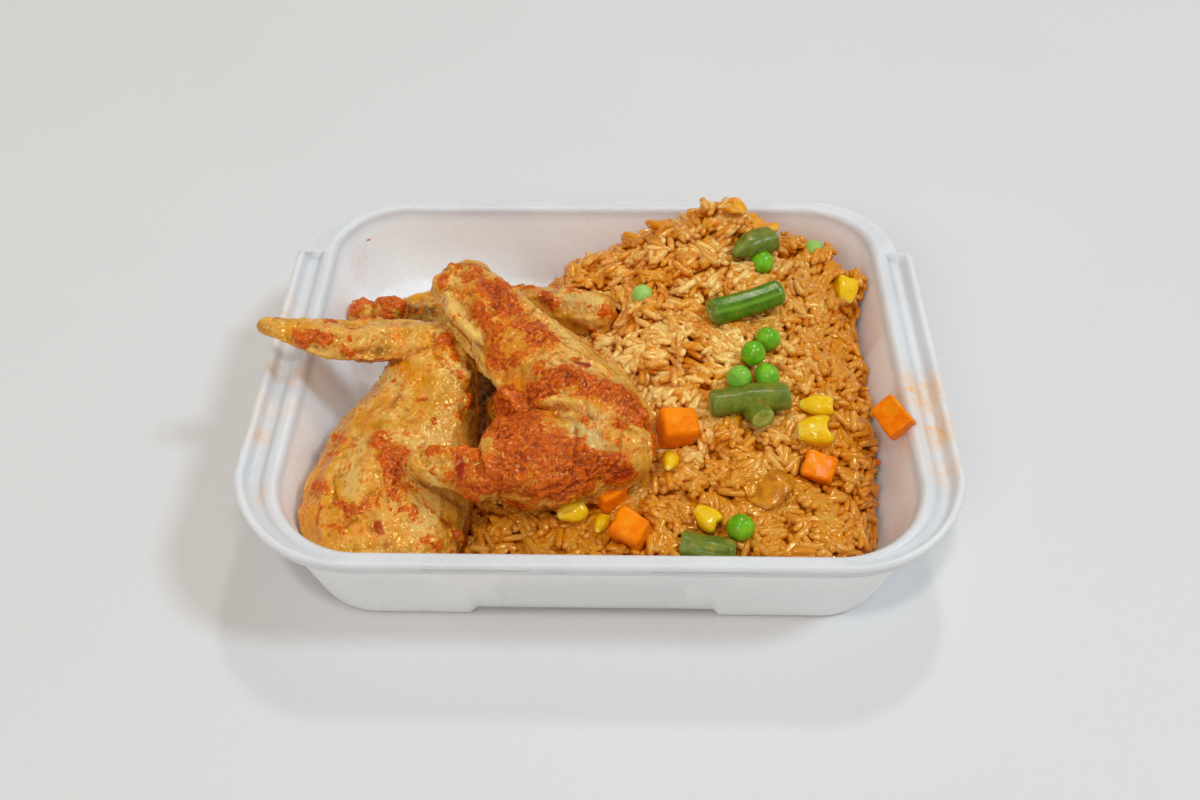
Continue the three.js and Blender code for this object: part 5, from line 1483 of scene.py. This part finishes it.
# many grains as one mesh, with their tones as attributes
def grainMesh(name, grains, seed, sides, rings, soiling):
    draw = np.random.default_rng(seed)
    # neighbours are much of one tone
    clumpTone = 0.5 + 1.2 * softNoise(np.array([g[0] for g in grains]), 11.0, 9, 2)
    blanks = [grainBlank(sides, rings, *form) for form in rice["forms"]]
    points, faces, tint, soiled, ends = [], [], [], [], []
    base = 0
    for centre, heading, pitch, half, wide, deep in grains:
        co, polygons = blanks[draw.integers(len(blanks))]
        roll = Matrix.Rotation(draw.normal(0, 0.5), 3, "X")
        turn = Matrix.Rotation(heading, 3, "Z") @ Matrix.Rotation(-pitch, 3, "Y") @ roll
        points.append((co * np.array([half, wide, deep])) @ np.array(turn).T + centre)
        faces += [tuple(base + i for i in p) for p in polygons]
        base += len(co)
        tint.append(np.full(len(co), 0.85 * draw.random() + 0.25 * (clumpTone[len(tint)] - 0.3)))
        soiled.append(np.full(len(co), draw.random() ** soiling))
        ends.append(np.abs(co[:, 0]))
    points = np.concatenate(points)
    # how deep each point lies under the heap's own surface, for painted shade down in the gaps
    i = np.clip(((points[:, 0] - riceX[0]) / rice["cell"]).astype(int), 0, len(riceX) - 1)
    j = np.clip(((points[:, 1] - riceY[0]) / rice["cell"]).astype(int), 0, len(riceY) - 1)
    mesh = bpy.data.meshes.new(name)
    mesh.from_pydata((points * mm).tolist(), [], faces)
    setAttribute(mesh, "sunk_shade", np.clip((riceNow[i, j] - points[:, 2]) / 3.5, 0, 1))
    setAttribute(mesh, "tint", np.concatenate(tint))
    setAttribute(mesh, "soiled", np.concatenate(soiled))
    setAttribute(mesh, "end", np.concatenate(ends))
    # more oil at the right, the front and the back
    oily = smoothstep(points[:, 0], 48, 85) + smoothstep(-points[:, 1], 25, 60)
    oily += 0.35 * smoothstep(points[:, 1], 40, 62)
    setAttribute(mesh, "oily", np.clip(oily, 0, 1))
    return mesh


grainLook = (0.3, 0.18, 0.0018, (1.0, 0.65, 0.3), (1.0, 0.66, 0.2))
grainSkin, tree, shader, place = foodSkin("riceGrain", *grainLook)
blotch = noiseNode(tree, place, 330.0, 4.0, 0.6)
patch = noiseNode(tree, place, 38.0, 3.0, 0.6)
tint, soiled = attributeNode(tree, "tint"), attributeNode(tree, "soiled")
tone = mixed(tree, ranged(tree, tint, 0.0, 0.85), (0.74, 0.25, 0.001), (0.99, 0.64, 0.2))
tone = mixed(tree, ranged(tree, patch, 0.42, 0.62, 0.0, 0.7), tone, (0.82, 0.28, 0.001))
glaze = noiseNode(tree, place, 95.0, 3.0, 0.6)
tone = mixed(tree, ranged(tree, glaze, 0.5, 0.66, 0.0, 0.75), tone, (0.7, 0.19, 0.002))
oily = sums(tree, "MULTIPLY", attributeNode(tree, "oily"), 0.78)
tone = mixed(tree, oily, tone, (0.66, 0.225, 0.001))
tone = mixed(tree, ranged(tree, soiled, 0.7, 1.0, 0.0, 0.75), tone, (0.68, 0.22, 0.01))
tone = mixed(tree, ranged(tree, blotch, 0.52, 0.7, 0.0, 0.55), tone, (0.68, 0.22, 0.008))
ends = ranged(tree, attributeNode(tree, "end"), 0.75, 1.0, 0.0, 0.25)
tone = mixed(tree, ends, tone, (0.6, 0.23, 0.02))
sunk_shade = attributeNode(tree, "sunk_shade")
# painted shade: deeper points turn a darker, redder orange
tone = mixed(tree, ranged(tree, sunk_shade, 0.04, 0.5, 0.0, 0.88), tone, (0.76, 0.2, 0.0))
specks = ranged(tree, cellNode(tree, place, 260.0), 0.1, 0.06, 0.0, 0.8)
tone = mixed(tree, specks, tone, (0.42, 0.03, 0.003))
connect(tree, shader, Base_Color=tone)
connect(tree, shader, Roughness=ranged(tree, blotch, 0.3, 0.7, 0.1, 0.2))
relief = bumped(tree, noiseNode(tree, place, 600.0, 2.0), 0.22, 0.0006)
connect(tree, shader, Normal=relief, Coat_Normal=relief)
# hardly any gloss down in the gaps
connect(tree, shader, Specular_IOR_Level=ranged(tree, sunk_shade, 0.1, 0.45, 0.75, 0.15))
connect(tree, shader, Coat_Weight=ranged(tree, sunk_shade, 0.1, 0.45, 0.42, 0.0))
shader.inputs["Coat Roughness"].default_value = 0.07

wholeGrains = dropGrains(11, **riceKinds["grains"])
bits = dropGrains(12, **riceKinds["bits"])
print("grains:", len(wholeGrains), "bits:", len(bits))
cuts = [math.ceil(len(wholeGrains) * k / 3) for k in range(4)]
for name, some, seed, sides, rings, soiling in (
    ("rice_grains_low", wholeGrains[: cuts[1]], 70, 7, 8, 1.0),
    ("rice_grains_middle", wholeGrains[cuts[1] : cuts[2]], 73, 7, 8, 1.0),
    ("rice_grains_top", wholeGrains[cuts[2] :], 71, 7, 8, 1.0),
    ("rice_bits", bits, 72, 6, 6, 0.5),
):
    mesh = grainMesh(name, some, seed, sides, rings, soiling)
    shownObject(name, mesh, grainSkin, ["rice"])
    print(name, len(mesh.polygons), "faces")

# flecks of spice and tomato skin: the larger ones by place, the rest scattered by chance
flecks = {
    # x, y, lowest z, size
    "placed": (
        (27.5, 10.2, 0, 1.5), (23.7, 34.6, 0, 1.4), (94.4, -30.2, 20.6, 2.8), (84, -6, 0, 1.5),
        (63.4, 47, 0, 2.4), (41, 49, 0, 1.8), (12, 44, 0, 1.6),
    ),
    "scattered": 46,
    "size": (0.7, 1.5),
}


def fleckMesh():
    draw = np.random.default_rng(31)
    blank, way = roundBlank(2)
    corners = np.array([tuple(p.vertices) for p in blank.polygons])
    spots = list(flecks["placed"])
    high = np.argwhere(riceNow > 12)
    for i, j in high[draw.integers(len(high), size=flecks["scattered"])]:
        spots.append((riceX[i], riceY[j], 0, draw.uniform(*flecks["size"])))
    points, faces, shades = [], [], []
    for k, (x, y, low, size) in enumerate(spots):
        i, j = np.searchsorted(riceX, x), np.searchsorted(riceY, y)
        turn = Matrix.Rotation(draw.uniform(0, 6.3), 3, "Z")
        turn = turn @ Matrix.Rotation(draw.normal(0, 0.4), 3, "X")
        uneven = 1 + 0.35 * softNoise(way + 9 * k, 0.8, 3, 2)
        co = way * np.array([0.6, 0.42, 0.2]) * size * uneven[:, None]
        points.append(co @ np.array(turn).T + (x, y, max(riceNow[i, j], low) + 0.12 * size))
        faces += (corners + k * len(way)).tolist()
        shades.append(np.full(len(way), draw.random()))
    mesh = bpy.data.meshes.new("spice_flecks")
    mesh.from_pydata((np.concatenate(points) * mm).tolist(), [], faces)
    setAttribute(mesh, "shade", np.concatenate(shades))
    return mesh


fleckLook = (0.25, 0.1, 0.001, (1.0, 0.4, 0.1), (1.0, 0.6, 0.2))
fleckSkin, tree, shader, place = foodSkin("spiceFleck", *fleckLook)
tone = mixed(tree, attributeNode(tree, "shade"), (0.34, 0.012, 0.0), (0.8, 0.16, 0.001))
blotch = ranged(tree, noiseNode(tree, place, 900.0), 0.4, 0.7, 0.0, 0.6)
tone = mixed(tree, blotch, tone, (0.5, 0.06, 0.001))
connect(tree, shader, Base_Color=tone)
connect(tree, shader, Normal=bumped(tree, noiseNode(tree, place, 1500.0), 0.4, 0.0003))
mesh = fleckMesh()
shownObject("spice_flecks", mesh, fleckSkin)
print("spice flecks:", len(mesh.polygons), "faces")
